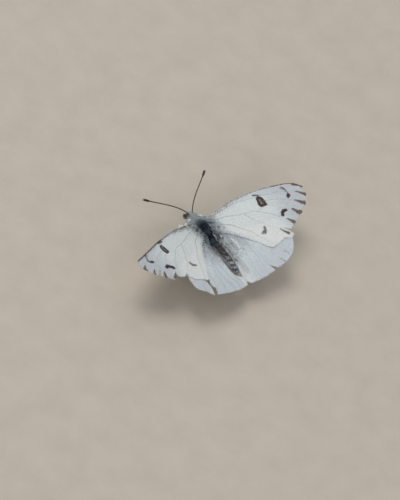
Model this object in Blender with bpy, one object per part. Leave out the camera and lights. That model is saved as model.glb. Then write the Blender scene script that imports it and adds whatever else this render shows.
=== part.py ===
"""Checkered white butterfly (Pontia protodice), a worn male basking with its wings open.

The body is modelled in its own frame: +X is the animal's left, -Y is forward towards the
head, +Z is up, and the zero point is on the body's axis between the forewing hinges.  An
empty tilts the body head-up over the floor; the legs are set out from the floor itself.
A wing is drawn in its own plane by (forward, outward) pairs and turned up to its dihedral.
All the sizes below are in millimetres.
"""

from math import cos, pi, radians, sin, sqrt

import bmesh
import bpy
import numpy as np
from mathutils import Vector
from mathutils.geometry import delaunay_2d_cdt

MM = 0.001

# Driving dimensions
AXIS_HEIGHT = 4.8        # body axis over the floor, at the forewing hinges
BODY_PITCH = 4.0         # degrees, head up
WING_DIHEDRAL = 11.0     # degrees that each wing rises outwards
WING_PLANE_HEIGHT = 1.15  # where the forewing planes meet, above the body axis
WING_THICKNESS = 0.5
WING_GAP = 0.12          # air between forewing and hindwing where they overlap
JOINT_GAP = 0.12         # air between touching parts
FOOT_HEIGHT = 0.21       # centre line of a foot over the floor
FOOT_RADIUS = 0.26
WING_GRID = 1.7          # spacing of the points inside a wing

# Forewing, from the costal hinge out to the apex, and back along the inner margin
FORE_COSTA_RIGHT = [(0.6, 0.9), (0.5, 2.6), (0.9, 5.5), (1.1, 8.5), (0.7, 12.4), (0.0, 16.4), (-1.2, 20.5),
                    (-2.5, 23.5), (-3.5, 24.4)]
FORE_COSTA_LEFT = [(0.6, 0.9), (0.5, 2.6), (0.8, 6.0), (0.5, 9.0), (-0.5, 14.0), (-1.3, 16.9), (-2.1, 19.5),
                   (-2.7, 21.7), (-3.2, 23.4)]
FORE_INNER = [(-11.2, 8.6), (-9.3, 7.2), (-5.9, 4.4), (-2.6, 1.0)]
# Its outer margin, between vein ends; the left wing is worn into deeper lobes and slits
FORE_TERMEN_RIGHT = [(-4.3, 24.9), (-4.4, 24.3), (-4.8, 23.9), (-5.6, 24.2), (-6.1, 24.4), (-6.6, 24.0),
                     (-7.2, 23.5), (-7.3, 23.0), (-7.9, 22.9), (-8.2, 22.1), (-8.4, 21.3), (-8.7, 20.9),
                     (-9.3, 20.7), (-9.5, 19.7), (-10.1, 18.5), (-10.5, 17.8), (-10.9, 16.6), (-11.2, 15.9),
                     (-9.9, 14.6), (-11.1, 15.3), (-12.5, 15.9), (-13.0, 14.8), (-12.1, 13.6),
                     (-12.6, 11.6), (-12.7, 10.0), (-12.2, 9.3)]
FORE_TERMEN_LEFT = [(-3.6, 23.7), (-4.5, 24.0), (-5.1, 24.1), (-5.5, 23.8), (-6.1, 23.5), (-6.3, 23.1),
                    (-6.8, 22.8), (-7.0, 22.4), (-7.0, 21.9), (-7.6, 22.1), (-7.9, 21.3), (-7.6, 20.8),
                    (-7.0, 20.0), (-7.6, 20.3), (-8.2, 20.8), (-8.6, 20.8), (-8.3, 19.9), (-9.2, 20.1),
                    (-9.2, 19.5), (-9.7, 19.0), (-10.1, 18.3), (-10.0, 17.6), (-9.4, 16.8), (-9.8, 16.6),
                    (-10.2, 15.9), (-10.3, 15.0), (-9.8, 14.1), (-10.9, 13.7), (-11.8, 12.8),
                    (-12.3, 11.2), (-12.9, 9.9), (-12.4, 9.4)]
# Hindwing: the costal margin lies under the forewing, the inner margin beside the abdomen
HIND_COSTA = [(-1.0, 0.6), (-1.5, 3.0), (-3.2, 7.0), (-6.2, 11.3), (-9.4, 13.9)]
HIND_APEX = [(-10.6, 14.6), (-11.8, 15.0), (-12.9, 15.1), (-14.2, 14.3), (-15.3, 13.3), (-16.2, 12.1)]
HIND_TERMEN = [(-16.9, 10.3), (-17.1, 8.6), (-17.3, 6.6), (-17.4, 4.4), (-17.3, 2.2), (-16.9, 0.5)]
HIND_INNER = [(-14.9, 0.2), (-12.5, 0.7), (-9.0, 1.0), (-4.2, 0.8)]
# A torn slit on the left hindwing and a torn notch on the right one, set into the margin
HIND_SLIT_LEFT = [(-16.9, 11.4), (-14.9, 10.6), (-13.6, 10.3), (-12.7, 10.3), (-12.4, 9.8), (-12.8, 9.3),
                  (-13.7, 9.7), (-14.7, 10.1), (-15.3, 9.6), (-16.4, 10.2), (-16.9, 10.9)]
HIND_NOTCH_RIGHT = [(-17.1, 7.6), (-15.6, 6.4), (-17.2, 6.8)]
HIND_LIFT = 0.03         # how much the hindwing curls up behind the forewing, per mm outwards

# Body sections: station forward, half width, height above the axis, depth below it
THORAX = [(2.25, 0.9, 0.95, 1.0), (1.7, 1.35, 1.4, 1.45), (0.7, 1.85, 1.9, 2.05), (-0.7, 2.15, 2.1, 2.35),
          (-2.1, 1.95, 1.95, 2.2), (-3.1, 1.5, 1.55, 1.75), (-3.75, 1.1, 1.2, 1.35)]
ABDOMEN = [(-3.9, 1.05, 1.15, 1.3), (-5.5, 1.17, 1.2, 1.4), (-8.0, 1.25, 1.24, 1.45), (-10.5, 1.19, 1.17, 1.35),
           (-12.4, 0.96, 0.98, 1.1), (-13.4, 0.66, 0.7, 0.75), (-13.95, 0.3, 0.32, 0.35)]
ABDOMEN_RINGS = 8
RING_GROOVE = 0.05
HEAD = [(2.4, 0.7, 0.75, 0.75), (2.8, 0.86, 0.9, 0.9), (3.25, 0.86, 0.88, 0.9), (3.65, 0.68, 0.62, 0.72),
        (3.9, 0.3, 0.25, 0.3)]
EYE_CENTRE = (0.72, 3.2, 0.0)       # outward, forward, up
EYE_RADII = (0.5, 0.58, 0.62)
PALP = [(0.5, 3.4, -0.98), (0.5, 3.75, -0.95), (0.48, 4.0, -0.65), (0.45, 4.08, -0.3)]
PROBOSCIS_CENTRE = (0.0, 3.75, -1.12)
PROBOSCIS_RADIUS = 0.42
ANTENNA = [(0.5, 3.12, 0.8), (2.0, 5.7, 1.9), (6.2, 7.7, 2.05), (9.2, 10.0, 2.6)]
ANTENNA_RADIUS = 0.25
CLUB_RADIUS = 0.36

# Legs, each from its hip through trochanter, knee, ankle and heel to the claws:
# outward, forward, and height over the floor.  The left foreleg is raised highest.
LEGS = {
    "leg_fore_left": [(0.4, 1.1, 3.7), (1.45, 1.75, 3.1), (3.3, 2.0, 4.65), (4.5, 2.4, 2.3),
                      (5.0, 2.8, 0.6), (5.4, 3.0, 0.2), (6.5, 3.3, 0.2)],
    "leg_fore_right": [(-0.4, 1.1, 3.7), (-1.45, 1.8, 3.1), (-2.7, 2.0, 4.15), (-3.6, 3.2, 2.2),
                       (-4.1, 4.2, 0.6), (-4.4, 4.9, 0.2), (-4.9, 5.9, 0.2)],
    "leg_mid_left": [(0.4, -0.4, 3.3), (1.65, -0.45, 2.65), (3.8, -0.3, 4.2), (5.3, -0.2, 2.0),
                     (6.1, -0.2, 0.6), (6.8, -0.3, 0.2), (8.1, -0.5, 0.2)],
    "leg_mid_right": [(-0.4, -0.4, 3.3), (-1.65, -0.5, 2.65), (-3.7, -0.5, 4.2), (-5.3, -0.2, 2.0),
                      (-6.1, 0.0, 0.6), (-6.8, 0.2, 0.2), (-8.1, 0.6, 0.2)],
    "leg_hind_left": [(0.4, -2.0, 3.3), (1.55, -2.7, 2.6), (2.9, -4.2, 3.9), (4.0, -6.9, 1.8),
                      (4.5, -8.3, 0.6), (4.8, -9.3, 0.2), (5.4, -11.5, 0.2)],
    "leg_hind_right": [(-0.4, -2.0, 3.3), (-1.55, -2.7, 2.6), (-3.0, -4.0, 3.9), (-4.4, -6.5, 1.8),
                       (-5.0, -7.8, 0.6), (-5.3, -8.8, 0.2), (-6.0, -11.0, 0.2)],
}
LEG_RADII = [0.42, 0.4, 0.33, 0.27, 0.26, FOOT_RADIUS, FOOT_RADIUS]

# Colour, roughness and metallic value of each material
FINISHES = {
    "wing_scales": ((0.78, 0.80, 0.80), 0.7, 0.0),
    "thorax_hair": ((0.05, 0.07, 0.09), 0.85, 0.0),
    "abdomen_scales": ((0.10, 0.11, 0.12), 0.8, 0.0),
    "head_hair": ((0.40, 0.45, 0.43), 0.85, 0.0),
    "eye": ((0.10, 0.06, 0.06), 0.25, 0.0),
    "antenna": ((0.05, 0.04, 0.03), 0.55, 0.0),
    "leg_scales": ((0.62, 0.62, 0.58), 0.7, 0.0),
}


def material(name):
    found = bpy.data.materials.get(name)
    if found:
        return found
    colour, roughness, metallic = FINISHES[name]
    made = bpy.data.materials.new(name)
    made.use_nodes = True
    shader = made.node_tree.nodes["Principled BSDF"]
    shader.inputs["Base Color"].default_value = (*colour, 1.0)
    shader.inputs["Roughness"].default_value = roughness
    shader.inputs["Metallic"].default_value = metallic
    return made


def empty(name, parent=None, location=(0.0, 0.0, 0.0)):
    made = bpy.data.objects.new(name, None)
    made.empty_display_size = 2 * MM
    made.parent = parent
    made.location = Vector(location) * MM
    bpy.context.scene.collection.objects.link(made)
    return made


def add_object(name, bm, finish, parent):
    """Make an object from a bmesh in millimetres, with its faces turned outwards."""
    bmesh.ops.scale(bm, vec=Vector((MM, MM, MM)), verts=bm.verts)
    bmesh.ops.recalc_face_normals(bm, faces=bm.faces)
    mesh = bpy.data.meshes.new(name)
    bm.to_mesh(mesh)
    bm.free()
    mesh.materials.append(material(finish))
    made = bpy.data.objects.new(name, mesh)
    made.parent = parent
    bpy.context.scene.collection.objects.link(made)
    return made


def smooth_line(points, steps):
    """Points along the smooth curve that passes through the given ones."""
    ends = [points[0], *points, points[-1]]
    line = []
    for before, start, stop, after in zip(ends, ends[1:], ends[2:], ends[3:]):
        before, start, stop, after = (np.array(p, float) for p in (before, start, stop, after))
        for step in range(steps):
            t = step / steps
            pull = (stop - before) * t + (2 * before - 5 * start + 4 * stop - after) * t ** 2
            bend = (3 * start - before - 3 * stop + after) * t ** 3
            line.append(start + 0.5 * (pull + bend))
    line.append(np.array(points[-1], float))
    return line


def bezier(controls, steps):
    a, b, c, d = (np.array(p, float) for p in controls)
    line = []
    for step in range(steps + 1):
        t = step / steps
        line.append(a * (1 - t) ** 3 + 3 * b * t * (1 - t) ** 2 + 3 * c * t * t * (1 - t) + d * t ** 3)
    return line


def loft(rings):
    """A closed body through rings of equally many points, with flat ends."""
    bm = bmesh.new()
    loops = [[bm.verts.new(point) for point in ring] for ring in rings]
    for first, second in zip(loops, loops[1:]):
        for i, vertex in enumerate(first):
            j = (i + 1) % len(first)
            bm.faces.new((vertex, first[j], second[j], second[i]))
    bm.faces.new(loops[0])
    bm.faces.new(loops[-1])
    return bm


def body_rings(sections, steps, sides, groove=None):
    """Oval rings square to the body's axis, read from smooth sections."""
    rings = []
    for forward, half_width, top, bottom in smooth_line(sections, steps):
        scale = groove(forward) if groove else 1.0
        ring = []
        for i in range(sides):
            turn = 2 * pi * (i + 0.5) / sides
            reach = top if sin(turn) > 0 else bottom
            ring.append((half_width * cos(turn) * scale, -forward, reach * sin(turn) * scale))
        rings.append(ring)
    return rings


def tube_rings(path, radii, sides, floor=None):
    """Rings square to a path of (outward, forward, up) points, their sides held level."""
    points = [Vector((outward, -forward, up)) for outward, forward, up in path]
    rings = []
    for i, (point, radius) in enumerate(zip(points, radii)):
        ahead = (points[min(i + 1, len(points) - 1)] - points[max(i - 1, 0)]).normalized()
        level = ahead.cross(Vector((0, 0, 1))).normalized()
        over = level.cross(ahead)
        ring = []
        for k in range(sides):
            turn = 2 * pi * (k + 0.5) / sides
            spot = point + radius * (cos(turn) * level + sin(turn) * over)
            if floor is not None:
                spot.z = max(spot.z, floor)
            ring.append(spot)
        rings.append(ring)
    return rings


def rounded(radii, ends=(0.55, 0.55)):
    """The same radii with the first and last ring drawn in."""
    return [radii[0] * ends[0], *radii[1:-1], radii[-1] * ends[1]]


# ---------------------------------------------------------------- wings

def fore_edge(outward):
    """How far back the forewing's rear edge lies at a distance outwards."""
    outs = [1.0, 4.4, 7.2, 9.6, 11.5, 14.6]
    backs = [-2.6, -5.9, -9.3, -12.5, -12.6, -12.2]
    return float(np.interp(outward, outs, backs))


def fore_camber(forward, outward):
    """Height of the forewing's mid surface over its plane: drooping leading edge and tip."""
    droop = 0.22 * max(0.0, 1.0 - abs(forward - 1.0) / 3.0) ** 2
    tip = 0.25 * max(0.0, (outward - 14.0) / 11.0) ** 2
    belly = 0.18 * sin(pi * min(1.0, max(0.0, -forward / 13.0)))
    return belly - droop - tip


def hind_camber(forward, outward):
    """The hindwing keeps under the forewing, then curls up and is fluted towards its margin."""
    behind = (fore_edge(outward) - forward) / 3.5
    blend = min(1.0, max(0.0, behind))
    blend = blend * blend * (3 - 2 * blend)
    return fore_camber(forward, outward) - WING_THICKNESS - WING_GAP + blend * HIND_LIFT * outward


def inside(point, outline):
    """Whether a point lies inside a closed outline."""
    x, y = point
    hit = False
    for (x0, y0), (x1, y1) in zip(outline, outline[1:] + outline[:1]):
        if (y0 > y) != (y1 > y) and x < x0 + (y - y0) * (x1 - x0) / (y1 - y0):
            hit = not hit
    return hit


def clear_of_edge(point, outline, distance):
    """Whether a point keeps a distance from every side of an outline."""
    spot = Vector(point)
    for start, stop in zip(outline, outline[1:] + outline[:1]):
        a, b = Vector(start), Vector(stop)
        along = b - a
        t = min(1.0, max(0.0, (spot - a).dot(along) / along.length_squared))
        if (spot - a - along * t).length < distance:
            return False
    return True


def wing(name, outline, camber, side, parent):
    """A cambered plate of one thickness within an outline of (forward, outward) pairs."""
    outline = [(float(f), float(o)) for f, o in outline]
    spots = list(outline)
    for row in np.arange(-18.0, 2.0, WING_GRID):
        for column in np.arange(0.5, 26.0, WING_GRID):
            if inside((row, column), outline) and clear_of_edge((row, column), outline, 0.45 * WING_GRID):
                spots.append((row, column))
    edge = [list(range(len(outline)))]
    flat, _, faces, _, _, _ = delaunay_2d_cdt([Vector(s) for s in spots], [], edge, 1, 1e-5)
    bm = bmesh.new()
    verts = [bm.verts.new((side * spot.y, -spot.x, camber(spot.x, spot.y))) for spot in flat]
    for face in faces:
        bm.faces.new([verts[i] for i in face])
    made = add_object(name, bm, "wing_scales", parent)
    made.location.z = WING_PLANE_HEIGHT * MM
    made.rotation_euler.y = -side * radians(WING_DIHEDRAL)
    thicken = made.modifiers.new("thickness", "SOLIDIFY")
    thicken.thickness = WING_THICKNESS * MM
    thicken.offset = 0.0
    return made


def fore_outline(side):
    costa = FORE_COSTA_LEFT if side > 0 else FORE_COSTA_RIGHT
    termen = FORE_TERMEN_LEFT if side > 0 else FORE_TERMEN_RIGHT
    return smooth_line(costa, 2) + termen + smooth_line(FORE_INNER, 2)


def hind_outline(side):
    torn = HIND_SLIT_LEFT if side > 0 else []
    before = smooth_line(HIND_COSTA, 2) + HIND_APEX
    after = HIND_TERMEN[:2] + HIND_NOTCH_RIGHT + HIND_TERMEN[3:] if side < 0 else HIND_TERMEN[1:]
    return before + torn + after + smooth_line(HIND_INNER, 2)


# ---------------------------------------------------------------- body

def abdomen_groove(forward):
    """Drawn in a little at each joint between the abdomen's rings."""
    first, last = ABDOMEN[0][0], ABDOMEN[-1][0]
    phase = (forward - first) / (last - first) * ABDOMEN_RINGS
    return 1.0 - RING_GROOVE * abs(cos(pi * phase)) ** 4


def eye(name, side, parent):
    bm = bmesh.new()
    bmesh.ops.create_uvsphere(bm, u_segments=14, v_segments=10, radius=1.0)
    outward, forward, up = EYE_CENTRE
    wide, deep, high = EYE_RADII
    bmesh.ops.scale(bm, vec=Vector((wide, deep, high)), verts=bm.verts)
    bmesh.ops.translate(bm, vec=Vector((side * outward, -forward, up)), verts=bm.verts)
    return add_object(name, bm, "eye", parent)


def palp(name, side, parent):
    path = [(side * outward, forward, up) for outward, forward, up in smooth_line(PALP, 2)]
    radii = rounded([0.26, 0.27, 0.27, 0.26, 0.25, 0.25, 0.25])
    return add_object(name, loft(tube_rings(path, radii, 8)), "head_hair", parent)


def proboscis(parent):
    """The tongue, wound up like a watch spring under the head."""
    profile = [(0.0, 0.1), (0.4, 0.13), (0.6, 0.09), (0.85, 0.13), (1.0, 0.06)]
    rings = []
    for reach, half in profile[1:] + [(r, -h) for r, h in reversed(profile[1:])]:
        ring = []
        for i in range(16):
            turn = 2 * pi * i / 16
            outward, forward, up = PROBOSCIS_CENTRE
            spread = reach * PROBOSCIS_RADIUS
            ring.append((outward + half, -forward + spread * cos(turn), up + spread * sin(turn)))
        rings.append(ring)
    return add_object("proboscis", loft(rings), "antenna", parent)


def antenna(name, side, parent):
    path = [(side * outward, forward, up) for outward, forward, up in bezier(ANTENNA, 18)]
    radii = []
    for i in range(len(path)):
        along = i / (len(path) - 1)
        swell = max(0.0, min(1.0, (along - 0.8) / 0.1))
        radii.append(ANTENNA_RADIUS + (CLUB_RADIUS - ANTENNA_RADIUS) * swell * swell * (3 - 2 * swell))
    return add_object(name, loft(tube_rings(path, rounded(radii), 8)), "antenna", parent)


def leg(name, points, parent):
    path = [(o, f, max(z, FOOT_HEIGHT)) for o, f, z in smooth_line(points, 3)]
    radii = [float(r[0]) for r in smooth_line([(r, 0) for r in LEG_RADII], 3)]
    rings = tube_rings(path, rounded(radii, (1.0, 0.8)), 8, floor=0.0)
    return add_object(name, loft(rings), "leg_scales", parent)


# ---------------------------------------------------------------- fitting together

def clearance(part):
    """A guide a little larger than a part, for trimming what meets it."""
    guide = part.copy()
    guide.name = part.name + "_clearance"
    guide.hide_render = True
    guide.display_type = "WIRE"
    bpy.context.scene.collection.objects.link(guide)
    grow = guide.modifiers.new("grow", "DISPLACE")
    grow.strength = JOINT_GAP * MM
    grow.mid_level = 0.0
    return guide


def trim(part, guide):
    cut = part.modifiers.new("trim_" + guide.name, "BOOLEAN")
    cut.operation = "DIFFERENCE"
    cut.solver = "EXACT"
    cut.object = guide


def centre_over_origin(root, parts):
    """Move everything so that the middle of its plan is over the zero point."""
    bpy.context.view_layer.update()
    corners = np.array([part.matrix_world @ v.co for part in parts for v in part.data.vertices])
    middle = (corners.min(axis=0) + corners.max(axis=0)) / 2
    root.location.x -= middle[0]
    root.location.y -= middle[1]


def build():
    for old in list(bpy.data.objects):
        bpy.data.objects.remove(old)
    butterfly = empty("butterfly")
    body = empty("body_tilt", butterfly, (0, 0, AXIS_HEIGHT))
    body.rotation_euler.x = -radians(BODY_PITCH)

    thorax = add_object("thorax", loft(body_rings(THORAX, 2, 24)), "thorax_hair", body)
    abdomen_body = loft(body_rings(ABDOMEN, 5, 20, abdomen_groove))
    abdomen = add_object("abdomen", abdomen_body, "abdomen_scales", body)
    head = add_object("head", loft(body_rings(HEAD, 3, 20)), "head_hair", body)
    parts = [thorax, abdomen, head]

    tongue = proboscis(body)
    trim(head, clearance(tongue))
    parts.append(tongue)
    for side, word in ((1, "left"), (-1, "right")):
        for made in (eye("eye_" + word, side, body), palp("palp_" + word, side, body),
                     antenna("antenna_" + word, side, body)):
            trim(head, clearance(made))
            parts.append(made)

    thorax_guide = clearance(thorax)
    abdomen_guide = clearance(abdomen)
    for side, word in ((1, "left"), (-1, "right")):
        fore = wing("wing_fore_" + word, fore_outline(side), fore_camber, side, body)
        hind = wing("wing_hind_" + word, hind_outline(side), hind_camber, side, body)
        trim(fore, thorax_guide)
        trim(hind, thorax_guide)
        trim(hind, abdomen_guide)
        parts += [fore, hind]
    for name, points in LEGS.items():
        made = leg(name, points, butterfly)
        trim(made, thorax_guide)
        parts.append(made)

    for part in parts:
        part.data.shade_smooth()
        part.data.set_sharp_from_angle(angle=radians(40))
    centre_over_origin(butterfly, parts)


build()
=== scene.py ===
"""The looks of a worn male checkered white butterfly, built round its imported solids.

Lengths are in millimetres until a piece is placed in the row's frame, which is in metres.  A
place on the body is (left, forward, up) from the zero point on the body's axis between the
forewing hinges.  A place on a wing is (forward, outward) in the wing's own plane.  A place on
a leg is (left, forward, height over the floor).  In formulas l, f, u and o stand for left,
forward, up and outward, and side is 1 on the animal's left and -1 on its right.
"""

from math import cos, pi, radians, sin

import bmesh
import bpy
import numpy as np
from mathutils import Matrix, Vector
from mathutils.geometry import delaunay_2d_cdt


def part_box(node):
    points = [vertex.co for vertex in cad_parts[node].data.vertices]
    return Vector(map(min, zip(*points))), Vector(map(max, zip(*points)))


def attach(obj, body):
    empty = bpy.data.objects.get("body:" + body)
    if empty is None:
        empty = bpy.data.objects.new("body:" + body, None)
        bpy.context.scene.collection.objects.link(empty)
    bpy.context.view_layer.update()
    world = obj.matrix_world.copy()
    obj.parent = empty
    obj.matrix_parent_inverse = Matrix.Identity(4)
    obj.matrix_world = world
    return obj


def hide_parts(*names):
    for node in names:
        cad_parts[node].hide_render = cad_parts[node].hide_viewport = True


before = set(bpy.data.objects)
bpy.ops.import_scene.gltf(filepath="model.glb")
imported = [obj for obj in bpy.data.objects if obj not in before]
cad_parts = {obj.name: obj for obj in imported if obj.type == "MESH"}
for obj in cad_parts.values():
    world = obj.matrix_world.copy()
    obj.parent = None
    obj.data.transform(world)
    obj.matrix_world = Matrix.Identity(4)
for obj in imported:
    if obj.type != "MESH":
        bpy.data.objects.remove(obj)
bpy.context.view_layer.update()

MM = 0.001
SIDES = ((1, "left"), (-1, "right"))

# The stance and the body's sizes, as the solids have them
BODY_PITCH = radians(4.0)
EYE_CENTRE = (0.72, 3.2, 0.0)
EYE_RADII = (0.5, 0.58, 0.62)

# Rings through the body's parts, each (forward, half width, top, bottom)
THORAX = [
    (2.25, 0.9, 0.95, 1.0), (1.7, 1.35, 1.4, 1.45), (0.7, 1.85, 1.9, 2.05),
    (-0.7, 2.15, 2.1, 2.35), (-2.1, 1.95, 1.95, 2.2), (-3.1, 1.5, 1.55, 1.75), (-3.75, 1.1, 1.2, 1.35)]
ABDOMEN = [
    (-3.9, 1.05, 1.15, 1.3), (-5.5, 1.17, 1.2, 1.4), (-8.0, 1.25, 1.24, 1.45),
    (-10.5, 1.19, 1.17, 1.35), (-12.4, 0.96, 0.98, 1.1), (-13.4, 0.66, 0.7, 0.75),
    (-13.95, 0.3, 0.32, 0.35)]
HEAD = [
    (2.4, 0.7, 0.75, 0.75), (2.8, 0.86, 0.9, 0.9), (3.25, 0.86, 0.88, 0.9), (3.65, 0.68, 0.62, 0.72),
    (3.9, 0.3, 0.25, 0.3)]

# Middle lines of the thin parts
PALP = [(0.5, 3.4, -0.98), (0.5, 3.75, -0.95), (0.48, 4.0, -0.65), (0.45, 4.08, -0.3)]
ANTENNA = [(0.5, 3.12, 0.8), (2.0, 5.7, 1.9), (6.2, 7.7, 2.05), (9.2, 10.0, 2.6)]
PROBOSCIS_CENTRE = (0.0, 3.75, -1.12)
PROBOSCIS_RADIUS = 0.42

# How deep the coat is over the skin
THORAX_COAT = 0.35
ABDOMEN_COAT = 0.12
HEAD_COAT = 0.15

ABDOMEN_RINGS = 8
NECK_RADIUS = 0.66
WAIST_RADIUS = 0.86

# The wings' stance, their sheets and their outlines as (forward, outward)
WING_DIHEDRAL = radians(11.0)
WING_PLANE_HEIGHT = 1.15
FORE_DROP = 0.12       # how far the forewing's sheet lies under the wing's plane
HIND_DROP = 0.34       # the same for the hindwing's, which lies under it
HIND_LIFT = 0.03       # how much the hindwing rises for each mm outwards, behind the forewing
SHEET_THICKNESS = 0.05
SHEET_SPACING = 0.24   # between the points of a membrane
MARGIN_STEP = 0.22     # between the points of a worn margin
MARGIN_WEAR = 0.05     # how far they may lie off its line
FRINGE_STEP = 0.07     # between the hairs of the fringe
SCALE_ROW = 0.165      # from one row of scales to the next
SCALE_PITCH = 0.14     # from one scale to the next in a row
SCALE_CENTRE = (1.0, -2.5)   # of the arcs in which the rows lie

FORE_COSTA = {
    -1: [(0.6, 0.9), (0.5, 2.6), (0.9, 5.5), (1.1, 8.5), (0.7, 12.4), (0.0, 16.4), (-1.2, 20.5),
         (-2.5, 23.5), (-3.5, 24.4)],
    1: [(0.6, 0.9), (0.5, 2.6), (0.8, 6.0), (0.5, 9.0), (-0.5, 14.0), (-1.3, 16.9), (-2.1, 19.5),
        (-2.7, 21.7), (-3.2, 23.4)]}
FORE_INNER = [(-11.2, 8.6), (-9.3, 7.2), (-5.9, 4.4), (-2.6, 1.0)]
FORE_TERMEN = {
    -1: [(-4.3, 24.9), (-4.4, 24.3), (-4.8, 23.9), (-5.6, 24.2), (-6.1, 24.4), (-6.6, 24.0), (-7.2, 23.5),
         (-7.3, 23.0), (-7.9, 22.9), (-8.2, 22.1), (-8.4, 21.3), (-8.7, 20.9), (-9.3, 20.7), (-9.5, 19.7),
         (-10.1, 18.5), (-10.5, 17.8), (-10.9, 16.6), (-11.2, 15.9), (-9.9, 14.6), (-11.1, 15.3),
         (-12.5, 15.9), (-13.0, 14.8), (-12.1, 13.6), (-12.6, 11.6), (-12.7, 10.0), (-12.2, 9.3)],
    1: [(-3.6, 23.7), (-4.5, 24.0), (-5.1, 24.1), (-5.5, 23.8), (-6.1, 23.5), (-6.3, 23.1), (-6.8, 22.8),
        (-7.0, 22.4), (-7.0, 21.9), (-7.6, 22.1), (-7.9, 21.3), (-7.6, 20.8), (-7.0, 20.0), (-7.6, 20.3),
        (-8.2, 20.8), (-8.6, 20.8), (-8.3, 19.9), (-9.2, 20.1), (-9.2, 19.5), (-9.7, 19.0), (-10.1, 18.3),
        (-10.0, 17.6), (-9.4, 16.8), (-9.8, 16.6), (-10.2, 15.9), (-10.3, 15.0), (-9.8, 14.1),
        (-10.9, 13.7), (-11.8, 12.8), (-12.3, 11.2), (-12.9, 9.9), (-12.4, 9.4)]}
HIND_COSTA = [(-1.0, 0.6), (-1.5, 3.0), (-3.2, 7.0), (-6.2, 11.3), (-9.4, 13.9)]
HIND_APEX = {  # the left wing's corner is the more worn one
    -1: [(-10.6, 14.6), (-11.8, 15.0), (-12.9, 15.1), (-14.2, 14.3), (-15.3, 13.3), (-16.2, 12.1)],
    1: [(-10.6, 14.1), (-11.8, 14.35), (-12.9, 14.4), (-14.1, 14.15), (-15.2, 13.15), (-16.2, 11.95)]}
HIND_TERMEN = [(-16.9, 10.3), (-17.1, 8.6), (-17.3, 6.6), (-17.4, 4.4), (-17.3, 2.2), (-16.9, 0.5)]
HIND_INNER = [  # drawn in against the abdomen's coat, a little past the solid's edge
    (-15.6, -0.25), (-14.6, 0.0), (-13.3, 0.6), (-11.6, 0.86), (-9.0, 0.98), (-6.0, 0.95), (-4.2, 0.85)]
HIND_SLIT = [(-16.9, 11.4), (-14.9, 10.6), (-13.6, 10.3), (-12.7, 10.3), (-12.4, 9.8), (-12.8, 9.3),
             (-13.7, 9.7), (-14.7, 10.1), (-15.3, 9.6), (-16.4, 10.2), (-16.9, 10.9)]
HIND_NOTCH = [(-17.1, 7.6), (-15.6, 6.4), (-17.2, 6.8)]

# Veins, each a line of (forward, outward)
FORE_VEINS = [
    [(0.3, 1.2), (0.3, 5.0), (0.7, 6.8), (0.8, 8.5), (0.5, 10.8), (-0.1, 13.4), (-0.9, 16.6)],
    [(-0.1, 1.2), (0.1, 5.0), (0.2, 9.0), (-0.5, 11.9), (-1.1, 14.0), (-1.9, 16.3), (-2.6, 18.8),
     (-3.0, 20.6), (-4.0, 22.6), (-5.0, 24.0)],
    [(-2.3, 17.8), (-2.4, 19.6), (-2.3, 21.8)],
    [(-2.9, 20.0), (-3.9, 21.3), (-4.6, 22.6), (-6.0, 23.6)],
    [(-2.7, 15.1), (-4.1, 18.2), (-4.8, 19.3), (-5.7, 20.4), (-6.5, 21.4), (-7.7, 22.6)],
    [(-4.0, 15.1), (-4.5, 16.0), (-5.4, 16.7), (-6.7, 18.1), (-7.8, 19.2), (-9.1, 20.5)],
    [(-1.3, 14.3), (-2.6, 14.8), (-4.0, 15.1)],
    [(-0.6, 1.4), (-1.4, 5.3), (-2.4, 7.6), (-3.1, 9.6), (-3.6, 11.6), (-4.0, 12.2), (-4.0, 15.1)],
    [(-4.0, 12.2), (-5.9, 14.2), (-7.8, 15.8), (-8.9, 16.7), (-10.4, 17.6)],
    [(-3.1, 9.4), (-4.4, 10.0), (-6.3, 11.0), (-8.0, 12.1), (-9.7, 13.6)],
    [(-1.2, 1.4), (-3.6, 5.2), (-5.1, 6.3), (-7.2, 8.0), (-9.0, 8.8), (-11.0, 9.8), (-12.5, 10.4)]]
HIND_VEINS = [
    [(-2.0, 1.6), (-3.4, 4.6), (-5.6, 8.6), (-8.4, 12.2), (-10.6, 14.2)],
    [(-2.6, 1.6), (-4.6, 4.6), (-6.6, 7.2), (-8.2, 8.9), (-10.6, 10.7), (-12.9, 11.9), (-15.3, 12.8)],
    [(-6.6, 7.2), (-8.8, 10.2), (-11.0, 12.9), (-12.7, 14.8)],
    [(-8.2, 8.9), (-9.0, 8.3), (-9.5, 7.5), (-9.9, 6.7), (-10.4, 6.0)],
    [(-9.4, 7.6), (-11.6, 8.5), (-13.4, 8.8), (-15.0, 9.1), (-16.6, 9.4)],
    [(-2.8, 1.5), (-5.4, 3.3), (-8.2, 4.7), (-10.4, 6.0), (-12.4, 6.6), (-14.8, 7.0), (-16.0, 7.3)],
    [(-9.6, 5.4), (-11.8, 5.5), (-14.0, 5.5), (-17.0, 5.1)],
    [(-7.6, 4.3), (-10.4, 4.0), (-13.6, 3.5), (-17.0, 2.9)],
    [(-3.4, 1.7), (-7.0, 2.6), (-10.9, 2.5), (-14.0, 2.0), (-16.7, 1.2)]]

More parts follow.
